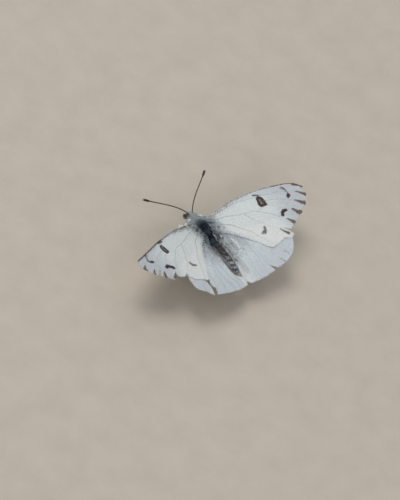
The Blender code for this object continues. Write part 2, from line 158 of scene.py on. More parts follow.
LEGS = {  # hip, trochanter, knee, ankle, heel, foot, claws
    "fore_left": [(0.4, 1.1, 3.7), (1.45, 1.75, 3.1), (3.3, 2.0, 4.65), (4.5, 2.4, 2.3),
                  (5.0, 2.8, 0.6), (5.4, 3.0, 0.12), (6.4, 3.27, 0.1)],
    "fore_right": [(-0.4, 1.1, 3.7), (-1.45, 1.8, 3.1), (-2.7, 2.0, 4.15), (-3.6, 3.2, 2.2),
                   (-4.1, 4.2, 0.6), (-4.4, 4.9, 0.12), (-4.85, 5.8, 0.1)],
    "mid_left": [(0.4, -0.4, 3.3), (1.65, -0.45, 2.65), (3.8, -0.3, 4.2), (5.3, -0.2, 2.0),
                 (6.1, -0.2, 0.6), (6.8, -0.3, 0.12), (8.0, -0.48, 0.1)],
    "mid_right": [(-0.4, -0.4, 3.3), (-1.65, -0.5, 2.65), (-3.7, -0.5, 4.2), (-5.3, -0.2, 2.0),
                  (-6.1, 0.0, 0.6), (-6.8, 0.2, 0.12), (-8.0, 0.55, 0.1)],
    "hind_left": [(0.4, -2.0, 3.3), (1.55, -2.7, 2.6), (2.9, -4.2, 3.9), (4.0, -6.9, 1.8),
                  (4.5, -8.3, 0.6), (4.8, -9.3, 0.12), (5.35, -11.4, 0.1)],
    "hind_right": [(-0.4, -2.0, 3.3), (-1.55, -2.7, 2.6), (-3.0, -4.0, 3.9), (-4.4, -6.5, 1.8),
                   (-5.0, -7.8, 0.6), (-5.3, -8.8, 0.12), (-5.95, -10.9, 0.1)]}


def srgb(red, green, blue):
    """A colour given as it shows on a screen, from 0 to 255, made linear."""
    value = np.array([red, green, blue]) / 255
    return np.where(value <= 0.04045, value / 12.92, ((value + 0.055) / 1.055) ** 2.4)


# Colours of the coat and the hard parts
WHITE_COOL = srgb(198, 207, 213)
WHITE_OUTER = srgb(203, 207, 210)
WHITE_HIND = srgb(221, 226, 229)
WHITE_CREAM = srgb(234, 235, 231)
DUST = srgb(66, 74, 84)
MARK = srgb(70, 56, 52)
WORN_BROWN = srgb(112, 92, 84)
VEIN = srgb(172, 163, 150)
VEIN_OUTER = srgb(184, 187, 188)
BLUE_BLACK = srgb(22, 29, 38)
SLATE = srgb(96, 112, 124)
BLUE_GREY = srgb(146, 160, 170)
LAVENDER_WHITE = srgb(232, 228, 238)
FOLD_OLIVE = srgb(148, 144, 124)
COLLAR_GREEN = srgb(202, 210, 210)
HEAD_GREEN = srgb(206, 214, 206)
PALP_GREY = srgb(128, 122, 114)
CREAM = srgb(206, 203, 186)
UNDER_OLIVE = srgb(176, 172, 140)
LEG_BUFF = srgb(150, 132, 108)
SCALE_WHITE = srgb(214, 214, 206)
EYE_DARK = srgb(56, 48, 43)
EYE_PINK = srgb(124, 102, 97)
EYE_OLIVE = srgb(104, 100, 72)
ANTENNA_BROWN = srgb(50, 40, 30)
ANTENNA_PALE = srgb(106, 94, 76)
CLUB_BLACK = srgb(34, 30, 25)
CLUB_TIP = srgb(168, 140, 120)
PROBOSCIS_BROWN = srgb(92, 62, 38)
CLAW_DARK = srgb(58, 44, 34)


# ------------------------------------------------------------------ camera, light and floor

CAMERA_AZIMUTH = radians(119.5)
CAMERA_ELEVATION = radians(45.1)
CAMERA_ROLL = radians(-25.6)
CAMERA_LENS = 400.0
VIEW_HEIGHT = 105.042              # mm from the picture's bottom to its top, at the animal
BODY_ZERO_AT = (-0.3151, 4.9055)   # mm right of and above the picture's middle

LIGHTS = [  # name, azimuth and elevation in degrees, distance and size in metres, watts, colour
    ("key", 8, 67, 0.6, 0.3, 1.36, (1.0, 0.97, 0.93)),
    ("side", 145, 32, 0.6, 0.3, 0.85, (1.0, 0.98, 0.96)),
    ("fill", -60, 40, 0.7, 0.5, 0.66, (0.92, 0.96, 1.0))]
SKY = (0.84, 0.92, 1.0, 1)
SKY_STRENGTH = 0.45


def body_zero():
    """The animal's own zero point in the row's frame, in metres, read from its eyes."""
    corners = [corner for name in ("eye_left", "eye_right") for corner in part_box(name)]
    middle = sum(corners, Vector()) / len(corners)
    forward = EYE_CENTRE[1]
    return middle + Vector((0, forward * cos(BODY_PITCH), -forward * sin(BODY_PITCH))) * MM


ZERO = body_zero()
BODY = Matrix.Translation(ZERO) @ Matrix.Rotation(-BODY_PITCH, 4, "X") @ Matrix.Scale(MM, 4)
STANCE = Matrix.Translation((ZERO.x, ZERO.y, 0.0)) @ Matrix.Scale(MM, 4)


def direction(azimuth, elevation):
    """The way to a place seen at this azimuth and elevation, with azimuth 0 on -Y."""
    flat = cos(elevation)
    return Vector((sin(azimuth) * flat, -cos(azimuth) * flat, sin(elevation)))


def add_object(name, data):
    """A new object in the scene."""
    made = bpy.data.objects.new(name, data)
    bpy.context.scene.collection.objects.link(made)
    return made


def add_camera():
    """A long lens on the photo's line of sight, turned with the photo."""
    lens = bpy.data.cameras.new("camera")
    lens.lens = CAMERA_LENS
    lens.clip_start = 0.01
    lens.clip_end = 20.0
    camera = add_object("camera", lens)
    back = direction(CAMERA_AZIMUTH, CAMERA_ELEVATION)
    level = Vector((0, 0, 1)).cross(back).normalized()
    upright = back.cross(level)
    right = level * cos(CAMERA_ROLL) - upright * sin(CAMERA_ROLL)
    up = upright * cos(CAMERA_ROLL) + level * sin(CAMERA_ROLL)
    target = ZERO - (right * BODY_ZERO_AT[0] + up * BODY_ZERO_AT[1]) * MM
    distance = VIEW_HEIGHT * MM * lens.lens / lens.sensor_width
    camera.matrix_world = Matrix((right, up, back)).transposed().to_4x4()
    camera.location = target + back * distance
    bpy.context.scene.camera = camera


def add_light(name, azimuth, elevation, distance, size, watts, colour):
    """A square lamp that looks at the row's zero point."""
    lamp = bpy.data.lights.new(name, "AREA")
    lamp.size = size
    lamp.energy = watts
    lamp.color = colour
    light = add_object(name, lamp)
    away = direction(radians(azimuth), radians(elevation))
    light.location = away * distance
    light.rotation_euler = away.to_track_quat("Z", "Y").to_euler()


def add_studio():
    """A pale sky and three soft lamps."""
    world = bpy.data.worlds.new("studio")
    bpy.context.scene.world = world
    world.use_nodes = True
    background = world.node_tree.nodes["Background"]
    background.inputs["Color"].default_value = SKY
    background.inputs["Strength"].default_value = SKY_STRENGTH
    for light in LIGHTS:
        add_light(*light)
    bpy.context.scene.view_settings.view_transform = "Standard"


def add_floor():
    """A wide plain floor, which stays out of the export."""
    bm = bmesh.new()
    bmesh.ops.create_grid(bm, x_segments=1, y_segments=1, size=3.0)
    mesh = bpy.data.meshes.new("floor")
    bm.to_mesh(mesh)
    bm.free()
    mesh.materials.append(floor_material())
    add_object("floor", mesh)


# ------------------------------------------------------------------ materials

def new_material(name, roughness, specular=0.5):
    """A material with its node tree and its shader."""
    made = bpy.data.materials.new(name)
    made.use_nodes = True
    shader = made.node_tree.nodes["Principled BSDF"]
    shader.inputs["Roughness"].default_value = roughness
    shader.inputs["Specular IOR Level"].default_value = specular
    return made, made.node_tree, shader


def noise(tree, feature, low=0.0, high=1.0):
    """Noise with features of this size in mm, stretched to run from low to high."""
    where = tree.nodes.new("ShaderNodeTexCoord")
    node = tree.nodes.new("ShaderNodeTexNoise")
    node.inputs["Scale"].default_value = 1 / (feature * MM)
    node.inputs["Detail"].default_value = 3.0
    stretch = tree.nodes.new("ShaderNodeMapRange")
    stretch.inputs["From Min"].default_value = 0.3
    stretch.inputs["From Max"].default_value = 0.7
    stretch.inputs["To Min"].default_value = low
    stretch.inputs["To Max"].default_value = high
    tree.links.new(where.outputs["Object"], node.inputs["Vector"])
    tree.links.new(node.outputs["Fac"], stretch.inputs["Value"])
    return stretch.outputs["Result"]


def scaled(tree, colour, factor):
    """A colour socket times a number socket."""
    node = tree.nodes.new("ShaderNodeVectorMath")
    node.operation = "SCALE"
    tree.links.new(colour, node.inputs["Vector"])
    tree.links.new(factor, node.inputs["Scale"])
    return node.outputs["Vector"]


def bump(tree, shader, height, depth):
    """Bump from a socket, where a change of 1 stands for this depth in mm."""
    node = tree.nodes.new("ShaderNodeBump")
    node.inputs["Strength"].default_value = 1.0
    node.inputs["Distance"].default_value = depth * MM
    tree.links.new(height, node.inputs["Height"])
    tree.links.new(node.outputs["Normal"], shader.inputs["Normal"])


def tinted_material(name, roughness, specular, feature, depth, darkest=0.86):
    """A finish whose colour is each point's own tint, broken up by fine noise."""
    made, tree, shader = new_material(name, roughness, specular)
    tint = tree.nodes.new("ShaderNodeAttribute")
    tint.attribute_name = "tint"
    broken = scaled(tree, tint.outputs["Color"], noise(tree, feature, darkest, 1.06))
    tree.links.new(broken, shader.inputs["Base Color"])
    rough = noise(tree, feature * 3, roughness - 0.08, roughness + 0.08)
    tree.links.new(rough, shader.inputs["Roughness"])
    bump(tree, shader, noise(tree, feature * 0.5), depth)
    return made


def floor_material():
    """A matt sandy beige, hardly mottled."""
    made, tree, shader = new_material("floor", 0.9, 0.2)
    blend = tree.nodes.new("ShaderNodeMix")
    blend.data_type = "RGBA"
    blend.inputs["A"].default_value = (0.52, 0.455, 0.38, 1)
    blend.inputs["B"].default_value = (0.56, 0.49, 0.41, 1)
    tree.links.new(noise(tree, 6.0), blend.inputs["Factor"])
    tree.links.new(blend.outputs["Result"], shader.inputs["Base Color"])
    bump(tree, shader, noise(tree, 0.6), 0.03)
    return made


# ------------------------------------------------------------------ meshes

class Shape:
    """Points with their tints and bake patches, and faces of three or four corners."""

    def __init__(self):
        self.points, self.tints, self.patches = [], [], []
        self.faces = {3: [], 4: []}
        self.count = 0

    def add(self, points, faces, tint, patches=None):
        """More points, with one tint or one for each, and groups of faces on them."""
        points = np.asarray(points, float).reshape(-1, 3)
        self.points.append(points)
        self.tints.append(np.broadcast_to(tint, points.shape))
        if patches is not None:
            self.patches.append(patches)
        for group in faces:
            group = np.asarray(group, int)
            if len(group):
                self.faces[group.shape[1]].append(group + self.count)
        self.count += len(points)

    def mesh(self, name, place):
        """All of it as a mesh, moved to its place in the row's frame."""
        points = np.concatenate(self.points)
        matrix = np.array(place)
        points = points @ matrix[:3, :3].T + matrix[:3, 3]
        groups = [np.concatenate(faces) for faces in self.faces.values() if faces]
        corners = np.concatenate([group.ravel() for group in groups])
        sides = np.concatenate([np.full(len(group), group.shape[1]) for group in groups])
        starts = np.cumsum(sides) - sides
        mesh = bpy.data.meshes.new(name)
        mesh.vertices.add(len(points))
        mesh.vertices.foreach_set("co", points.astype(np.float32).ravel())
        mesh.loops.add(len(corners))
        mesh.loops.foreach_set("vertex_index", corners.astype(np.int32))
        mesh.polygons.add(len(sides))
        mesh.polygons.foreach_set("loop_start", starts.astype(np.int32))
        mesh.update(calc_edges=True)
        tint = mesh.attributes.new("tint", "FLOAT_VECTOR", "POINT")
        tint.data.foreach_set("vector", np.concatenate(self.tints).astype(np.float32).ravel())
        if self.patches:
            patches = np.concatenate(self.patches)[corners]
            mesh.uv_layers.new(name="OFBake").data.foreach_set("uv", patches.astype(np.float32).ravel())
        return mesh


def add_piece(name, shape, material, place=BODY, replaced=(), smooth=True):
    """Makes a shape into a piece that rides on the body and stands for these solids."""
    mesh = shape.mesh(name, place)
    mesh.materials.append(material)
    mesh.polygons.foreach_set("use_smooth", np.full(len(mesh.polygons), smooth))
    made = add_object(name, mesh)
    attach(made, "root")
    if replaced:
        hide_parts(*replaced)


def smoothstep(t):
    """0 up to t = 0, 1 from t = 1 on, and a smooth rise between."""
    t = np.clip(t, 0, 1)
    return t * t * (3 - 2 * t)


def bell(value, middle, width):
    """1 at the middle, and about a third at this width from it."""
    return np.exp(-((value - middle) / width)**2)


def toward(colour, other, share):
    """A colour moved this share of the way to another."""
    return colour + (other - colour) * np.asarray(share)[..., None]


def unit(vectors):
    """The same ways with length 1."""
    return vectors / np.maximum(np.linalg.norm(vectors, axis=-1, keepdims=True), 1e-9)


def body_points(places):
    """(left, forward, up) as x, y and z."""
    places = np.asarray(places, float)
    return np.stack([places[..., 0], -places[..., 1], places[..., 2]], axis=-1)


def from_body(points):
    """Left, forward and up of points given as x, y and z."""
    return points[..., 0], -points[..., 1], points[..., 2]


def smooth_line(points, steps):
    """A smooth curve through the points, with this many steps between neighbours."""
    points = np.asarray(points, float)
    ends = np.vstack([2 * points[0] - points[1], points, 2 * points[-1] - points[-2]])
    t = np.linspace(0, 1, steps, endpoint=False)[:, None]
    runs = []
    for a, b, c, d in zip(ends, ends[1:], ends[2:], ends[3:]):
        cubic = (-a + 3 * b - 3 * c + d) * t**3 + (2 * a - 5 * b + 4 * c - d) * t**2 + (c - a) * t
        runs.append(b + cubic / 2)
    return np.vstack([*runs, points[-1:]])


def bezier(points, count):
    """A cubic Bezier curve through this many places."""
    a, b, c, d = np.asarray(points, float)
    t = np.linspace(0, 1, count)[:, None]
    return a * (1 - t)**3 + 3 * b * t * (1 - t)**2 + 3 * c * t * t * (1 - t) + d * t**3


def spread(values, count):
    """Values at even steps, drawn out over this many places."""
    return np.interp(np.linspace(0, 1, count), np.linspace(0, 1, len(values)), values)


def capped(rings, start, end):
    """Rings of points closed to a point at each end, and the faces between them."""
    count, sides = len(rings), len(rings[0])
    side = np.arange(sides)
    following = (side + 1) % sides
    ring = np.arange(count - 1)[:, None] * sides
    walls = np.stack([ring + side, ring + following, ring + sides + following,
                      ring + sides + side], -1)
    last = (count - 1) * sides
    start_cap = np.stack([following, side, np.full(sides, count * sides)], -1)
    end_cap = np.stack([last + side, last + following, np.full(sides, count * sides + 1)], -1)
    return np.vstack([*rings, start, end]), [walls.reshape(-1, 4), start_cap, end_cap]


def add_tube(shape, line, radii, sides=10, tints=(1, 1, 1), flatten=1.0):
    """A closed round tube along a line, with one tint or one for each point of the line."""
    line = np.asarray(line, float)
    tangents = unit(np.gradient(line, axis=0))
    across = np.cross(tangents[0], (0.31, 0.17, 0.94))
    turn = np.arange(sides) * 2 * pi / sides
    rings = []
    for centre, tangent, radius in zip(line, tangents, np.broadcast_to(radii, len(line))):
        across = unit(across - tangent * across.dot(tangent))
        other = np.cross(tangent, across) * flatten
        ring = np.outer(np.cos(turn), across) + np.outer(np.sin(turn), other)
        rings.append(centre + radius * ring)
    if np.ndim(tints) > 1:
        tints = np.vstack([np.repeat(tints, sides, axis=0), tints[:1], tints[-1:]])
    shape.add(*capped(rings, line[0], line[-1]), tints)


def along(line, f, o):
    """How far each place of a wing lies from a line, and its share of the line's length there."""
    line = np.asarray(line, float)
    lengths = np.linalg.norm(np.diff(line, axis=0), axis=1)
    reached = np.concatenate([[0], np.cumsum(lengths)])
    nearest = np.full(np.shape(f), np.inf)
    share = np.zeros(np.shape(f))
    for (f0, o0), (f1, o1), length, start in zip(line, line[1:], lengths, reached):
        t = np.clip(((f - f0) * (f1 - f0) + (o - o0) * (o1 - o0)) / length**2, 0, 1)
        distance = np.hypot(f - f0 - t * (f1 - f0), o - o0 - t * (o1 - o0))
        nearer = distance < nearest
        nearest = np.where(nearer, distance, nearest)
        share = np.where(nearer, (start + t * length) / reached[-1], share)
    return nearest, share


def stroke(line, f, o, half_width, soft, end_width=None):
    """1 on a painted line, 0 away from it; its width may change along it."""
    distance, share = along(line, f, o)
    width = half_width + (0 if end_width is None else (end_width - half_width) * share)
    return 1 - smoothstep((distance - width) / soft + 0.5)


def inside(outline, f, o):
    """Whether each place lies inside a closed outline."""
    result = np.zeros(np.shape(f), bool)
    for (f0, o0), (f1, o1) in zip(outline, np.roll(outline, -1, axis=0)):
        if f0 != f1:
            crosses = (f0 > f) != (f1 > f)
            result ^= crosses & (o < (o1 - o0) * (f - f0) / (f1 - f0) + o0)
    return result


def cloud(places, size, seed):
    """A smooth random field with patches of this size, from about -1 to 1."""
    random = np.random.default_rng(seed)
    places = np.asarray(places, float)
    total = np.zeros(places.shape[:-1])
    for _ in range(7):
        way = unit(random.normal(size=places.shape[-1])) * random.uniform(0.7, 1.9) * pi / size
        total += np.sin(places @ way + random.uniform(0, 2 * pi))
    return total / 3.0


# ------------------------------------------------------------------ wings

def fore_edge(outward):
    """How far forward the forewing's inner margin lies."""
    return np.interp(outward, [1, 4.4, 7.2, 9.6, 11.5, 14.6], [-2.6, -5.9, -9.3, -12.5, -12.6, -12.2])


def camber(f, o):
    """How a wing arches from front to back, and sinks at its root and tip."""
    arch = 0.18 * np.sin(pi * np.clip(-f / 13, 0, 1))
    root = -0.22 * np.maximum(0, 1 - np.abs(f - 1) / 3)**2
    tip = -0.25 * (np.maximum(0, o - 14) / 11)**2
    return arch + root + tip


def flutes(veins, f, o, depth):
    """The sheet sinks a little between its veins."""
    nearest = np.min([along(line, f, o)[0] for line in veins], axis=0)
    return -depth * (1 - bell(nearest, 0, 0.7))


def fore_height(f, o, side):
    """The forewing's sheet over the wing's plane, rippled a little near its worn margin."""
    ripple = 0.05 * np.sin(1.7 * f + 0.8 * o) * smoothstep((np.hypot(f, o) - 15) / 6)
    return camber(f, o) - FORE_DROP + flutes(FORE_VEINS, f, o, 0.09) + ripple


def hind_height(f, o, side):
    """The hindwing's sheet, tucked down beside the abdomen, the left one over the right behind it."""
    lift = smoothstep((fore_edge(o) - f) / 3.5) * HIND_LIFT * o
    tuck = smoothstep((2.2 - o) / 1.1) * smoothstep((-3.6 - f) / 1.5) * smoothstep((f + 15.6) / 2.5)
    under = 0.16 * smoothstep((1.2 - o) / 0.9) * smoothstep((-12.5 - f) / 1.5) * (side < 0)
    pleats = 0.05 * np.sin(2.3 * o + 0.25 * f) * smoothstep((-11.5 - f) / 4)
    sheet = camber(f, o) - HIND_DROP + lift - 0.85 * tuck - under + pleats
    return sheet + flutes(HIND_VEINS, f, o, 0.11)


def wing_points(f, o, height, side):
    """Places on a wing, this high over its plane, as x, y and z."""
    across = o * cos(WING_DIHEDRAL) - height * sin(WING_DIHEDRAL)
    up = o * sin(WING_DIHEDRAL) + height * cos(WING_DIHEDRAL) + WING_PLANE_HEIGHT
    return np.stack([side * across, -f, up], axis=-1)


def runs(line, spacing):
    """Each run of a line: its start, its step, its normal, and how many places fit in it."""
    line = np.asarray(line, float)
    steps = np.diff(line, axis=0)
    for start, step, length in zip(line, steps, np.linalg.norm(steps, axis=1)):
        normal = np.array([step[1], -step[0]]) / length
        yield start, step, normal, max(1, round(length / spacing))


def frayed(line, seed):
    """A margin worn ragged: points at even steps, moved a little off the line."""
    random = np.random.default_rng(seed)
    result = []
    for start, step, normal, count in runs(line, MARGIN_STEP):
        worn = random.uniform(-1, 1, (count, 1)) * MARGIN_WEAR
        worn[0] = 0
        result.append(start + step * (np.arange(count)[:, None] / count) + normal * worn)
    return np.vstack([*result, line[-1]])


def fore_outline(side):
    """The forewing's front edge, worn outer margin and inner margin."""
    costa = smooth_line(FORE_COSTA[side], 6)
    termen = frayed([FORE_COSTA[side][-1], *FORE_TERMEN[side], FORE_INNER[0]], 31 + side)
    return np.vstack([costa, termen[1:-1], smooth_line(FORE_INNER, 8)])


def hind_outline(side):
    """The hindwing's outline: torn by a slit on the left, by a notch on the right."""
    costa = smooth_line([*HIND_COSTA, *HIND_APEX[side]], 5)
    torn = HIND_SLIT if side > 0 else HIND_NOTCH
    cut = 0 if side > 0 else 2
    termen = [*HIND_TERMEN[:cut], *torn, *HIND_TERMEN[cut:]]
    inner = smooth_line([HIND_TERMEN[-1], *HIND_INNER], 5)
    return np.vstack([costa, frayed(termen, 41 + side)[:-1], inner])


def sheet_grid(outline, spacing, seed):
    """Triangles that fill an outline, on points about this far apart."""
    random = np.random.default_rng(seed)
    low, high = outline.min(0), outline.max(0)
    rows = np.arange(low[0], high[0], spacing * 0.866)
    columns = np.arange(low[1], high[1], spacing)
    f, o = np.meshgrid(rows, columns, indexing="ij")
    o = o + (np.arange(len(rows)) % 2)[:, None] * spacing / 2
    places = np.stack([f, o], -1).reshape(-1, 2)
    places = places + random.uniform(-0.1, 0.1, (f.size, 2)) * spacing
    border, _ = along(np.vstack([outline, outline[:1]]), *places.T)
    keep = inside(outline, *places.T) & (border > spacing * 0.45)
    every = [Vector(p) for p in (*outline, *places[keep])]
    points, _, faces, *_ = delaunay_2d_cdt(every, [], [list(range(len(outline)))], 1, 1e-5)
    return np.array([tuple(p) for p in points]), np.array([tuple(face) for face in faces])


def add_membrane(shape, outline, height, shades, side, seed):
    """A wing's membrane: two faces a hair apart, walled along their edge."""
    places, faces = sheet_grid(outline, SHEET_SPACING, seed)
    f, o = places.T
    heights = height(f, o, side)
    middle = wing_points(f, o, heights, side)
    a, b, c = (middle[faces[:, k], :2] for k in range(3))
    turns = (b - a)[:, 0] * (c - a)[:, 1] - (b - a)[:, 1] * (c - a)[:, 0]
    faces = np.where(turns[:, None] > 0, faces, faces[:, ::-1])
    top = wing_points(f, o, heights + SHEET_THICKNESS / 2, side)
    bottom = wing_points(f, o, heights - SHEET_THICKNESS / 2, side)
    edges = np.concatenate([faces[:, [0, 1]], faces[:, [1, 2]], faces[:, [2, 0]]])
    count = len(places)
    codes = edges[:, 0] * count + edges[:, 1]
    rim = edges[~np.isin(codes, edges[:, 1] * count + edges[:, 0])]
    wall = np.stack([rim[:, 1], rim[:, 0], rim[:, 0] + count, rim[:, 1] + count], -1)
    tint = blended(*shades(f, o, side)) * 0.92
    faces = [faces, faces[:, ::-1] + count, wall]
    shape.add(np.vstack([top, bottom]), faces, np.vstack([tint, tint]))


def add_veins(shape, veins, height, shades, side, outline):
    """Tapering tubes along the veins, in the pattern's colours where it is dark."""
    for line in veins:
        path = smooth_line(line, 5)
        path = path[inside(outline, *path.T)]
        if len(path) < 4:
            continue
        _, _, mark, brown = shades(*path.T, side)
        tint = toward(toward(vein_shade(*path.T), WORN_BROWN, brown), MARK, mark)
        points = wing_points(*path.T, height(*path.T, side), side)
        add_tube(shape, points, np.linspace(0.115, 0.085, len(path)), 6, tint)


# Each marking is (line, half width at its start, half width at its end); the wings' differ a little.
FORE_MARKS = {
    -1: [([(-1.5, 14.65), (-2.05, 14.98), (-2.75, 15.0), (-3.7, 14.85)], 0.34, 0.36),
         ([(-1.5, 14.5), (-1.6, 14.15), (-2.25, 13.98), (-3.0, 13.75), (-3.45, 13.85)], 0.28, 0.4),
         ([(-3.45, 13.85), (-3.6, 14.35), (-3.75, 14.8)], 0.32, 0.26),
         ([(-4.4, 20.6), (-4.6, 20.4)], 0.42, 0.4),
         ([(-4.6, 20.4), (-5.0, 20.05)], 0.24, 0.16),
         ([(-7.05, 17.7), (-6.9, 17.2), (-7.12, 16.75), (-7.6, 16.4)], 0.36, 0.4)],
    1: [([(-1.85, 14.58), (-2.55, 14.25), (-3.45, 14.0)], 0.2, 0.25),
        ([(-1.85, 14.7), (-2.1, 15.0), (-2.67, 15.15), (-3.31, 14.95), (-3.8, 14.82)], 0.22, 0.3),
        ([(-3.45, 14.0), (-3.72, 14.2), (-3.85, 14.8)], 0.25, 0.28),
        ([(-4.3, 20.95), (-4.65, 20.5), (-4.7, 20.15)], 0.2, 0.36),
        ([(-4.65, 20.15), (-4.9, 20.05)], 0.32, 0.18),
        ([(-7.0, 17.8), (-6.8, 17.15), (-7.1, 16.8), (-7.35, 16.35), (-7.65, 16.2)], 0.42, 0.4)]}
FORE_SOFT_MARKS = {
    -1: [([(-0.5, 13.9), (-0.75, 14.4), (-1.05, 14.9)], 0.26, 0.24),
         ([(-2.1, 20.35), (-2.55, 20.7)], 0.26, 0.28),
         ([(-2.55, 20.7), (-2.95, 20.85), (-4.15, 20.8)], 0.2, 0.16),
         ([(-1.85, 14.55), (-3.4, 14.45)], 0.34, 0.36),
         ([(-7.9, 11.1), (-8.6, 10.8), (-9.0, 10.4)], 0.3, 0.32),
         ([(-8.6, 10.4), (-8.9, 9.8)], 0.3, 0.24),
         ([(-5.9, 19.1), (-6.0, 19.15)], 0.07, 0.07)],
    1: [([(-1.0, 14.6), (-0.96, 14.2), (-0.87, 13.7)], 0.42, 0.4),
        ([(-2.3, 14.7), (-3.5, 14.5)], 0.28, 0.28),
        ([(-2.75, 20.4), (-3.1, 20.75)], 0.28, 0.2),
        ([(-3.45, 20.75), (-4.2, 21.05)], 0.22, 0.24),
        ([(-7.75, 11.0), (-8.15, 10.85), (-8.45, 10.6)], 0.3, 0.3),
        ([(-8.45, 10.65), (-8.75, 9.9)], 0.34, 0.28),
        ([(-6.2, 19.25), (-6.3, 19.25)], 0.08, 0.08)]}
FORE_GREY_LINE = [(-1.2, 15.3), (-1.9, 16.9), (-2.45, 18.7), (-2.35, 20.3)]
FORE_WEDGES = {
    -1: [([(-4.5, 22.6), (-5.05, 23.15), (-5.7, 23.6), (-6.15, 23.95)], 0.12, 0.46),
         ([(-6.05, 20.95), (-6.7, 21.55), (-7.35, 22.1), (-7.8, 22.8)], 0.14, 0.56),
         ([(-7.6, 19.15), (-8.25, 19.5), (-8.85, 19.85), (-9.3, 20.4)], 0.28, 0.62),
         ([(-8.85, 16.7), (-9.5, 17.1), (-10.0, 17.35), (-10.5, 17.6)], 0.18, 0.56),
         ([(-10.0, 13.8), (-11.7, 14.8)], 0.1, 0.34)],
    1: [([(-4.9, 22.6), (-5.6, 23.4), (-6.1, 23.5)], 0.14, 0.48),
        ([(-6.5, 21.2), (-7.2, 21.9), (-7.6, 22.1)], 0.1, 0.42),
        ([(-7.8, 19.3), (-8.5, 19.75), (-9.1, 20.0)], 0.12, 0.5),
        ([(-7.0, 19.8), (-7.9, 20.9)], 0.06, 0.12),
        ([(-8.8, 16.6), (-9.3, 17.1), (-9.9, 17.6)], 0.12, 0.52)]}
FORE_APEX = [(-2.75, 23.0), (-3.5, 24.2), (-4.25, 24.85)]
FORE_WEAR = {  # how strong each shade is on the left (1) and on the right (-1) forewing
    1: {"costal": 0.66, "base": 0.75, "inner": 0.68, "edge": 0.65, "line": 0.3, "brown": 0.62,
        "edge width": 0.27, "brown from": 12.5},
    -1: {"costal": 0.36, "base": 0.5, "inner": 0.32, "edge": 0.55, "line": 0.45, "brown": 0.95,
         "edge width": 0.16, "brown from": 17.5}}


def painted(marks, f, o, soft):
    """1 on any of these marks, 0 away from them."""
    return np.max([stroke(line, f, o, half_width, soft, end_width)
                   for line, half_width, end_width in marks], axis=0)


def veined(veins, f, o, half_width=0.05, soft=0.22):
    """1 on a wing's veins, 0 away from them."""
    return np.max([stroke(line, f, o, half_width, soft) for line in veins], axis=0)


def vein_shade(f, o):
    """Tan near the wing's root, fading to a faint grey outwards."""
    return toward(VEIN, VEIN_OUTER, smoothstep((np.hypot(f, o) - 7) / 8))


def fore_shades(f, o, side):
    """A forewing's white, and how much of each darker shade lies over it."""
    wear = FORE_WEAR[side]
    hind = smoothstep((-f - 1.0 - 0.3 * o) / 3.0) * smoothstep((19 - o) / 6)
    hind = np.maximum(hind, 0.8 * smoothstep((7.5 - np.hypot(f + 4, (o - 8.5) * 0.6)) / 4))
    inner = smoothstep((1.9 - (f - fore_edge(o))) / 1.9) * smoothstep((8.5 - o) / 5)
    white = toward(WHITE_COOL, WHITE_OUTER, smoothstep((np.hypot(f, o) - 15) / 6))
    white = toward(white, WHITE_CREAM, 0.95 * hind * (1 - 0.8 * inner))
    white = toward(white, vein_shade(f, o), 0.4 * veined(FORE_VEINS, f, o))
    streak = cloud(np.stack([2.4 * f, 0.7 * o], -1), 0.8, 5)
    costal = smoothstep((f + 1.0 - 0.02 * o) / 1.7) * smoothstep((15.0 - o) / 7)
    base = bell(np.hypot(f + 0.4, o), 0, 3.0)
    dust = wear["costal"] * costal * (1 + 0.5 * streak)
    dust = np.clip(dust + wear["base"] * base * (1 + 0.4 * streak), 0, 0.85)
    dust = np.maximum(dust, wear["inner"] * inner * (1 + 0.3 * streak))
    costa, _ = along(smooth_line(FORE_COSTA[side], 3), f, o)
    edge = 1 - smoothstep((costa - wear["edge width"]) / 0.24)
    dust = np.maximum(dust, wear["edge"] * edge * smoothstep((o - 2) / 3))
    dust = np.maximum(dust, wear["line"] * stroke(FORE_GREY_LINE, f, o, 0.06, 0.2))
    mark = painted(FORE_MARKS[side], f, o, 0.22)
    mark = np.maximum(mark, 0.72 * painted(FORE_SOFT_MARKS[side], f, o, 0.4))
    brown = 0.9 * painted(FORE_WEDGES[side], f, o, 0.3)
    brown = np.maximum(brown, wear["brown"] * edge * smoothstep((o - wear["brown from"]) / 2))
    if side < 0:
        brown = np.maximum(brown, stroke(FORE_APEX, f, o, 0.2, 0.3, 0.44))
    return white, dust, mark, brown


HIND_SCRATCH = [(-6.3, 3.25), (-7.55, 3.5), (-8.45, 3.5), (-9.3, 3.25), (-10.0, 3.2)]
HIND_DASHES = [  # worn brown dashes on the right hindwing, given as the marks are
    ([(-10.3, 1.3), (-10.9, 1.45)], 0.16, 0.16),
    ([(-14.45, 11.25), (-15.15, 11.5), (-15.75, 11.8)], 0.15, 0.07),
    ([(-15.2, 9.3), (-16.0, 9.55), (-16.65, 9.8)], 0.04, 0.14)]


def beside_body(f, o, side):
    """1 on the dusky part of a hindwing next to the thorax and the abdomen's front half."""
    wide = smoothstep(((3.5 if side > 0 else 2.1) - o) / 1.3) * smoothstep((f + 9.2) / 3)
    return np.maximum(wide, smoothstep((2.5 - o) / 0.6) * smoothstep((f + 6.2) / 1.6))


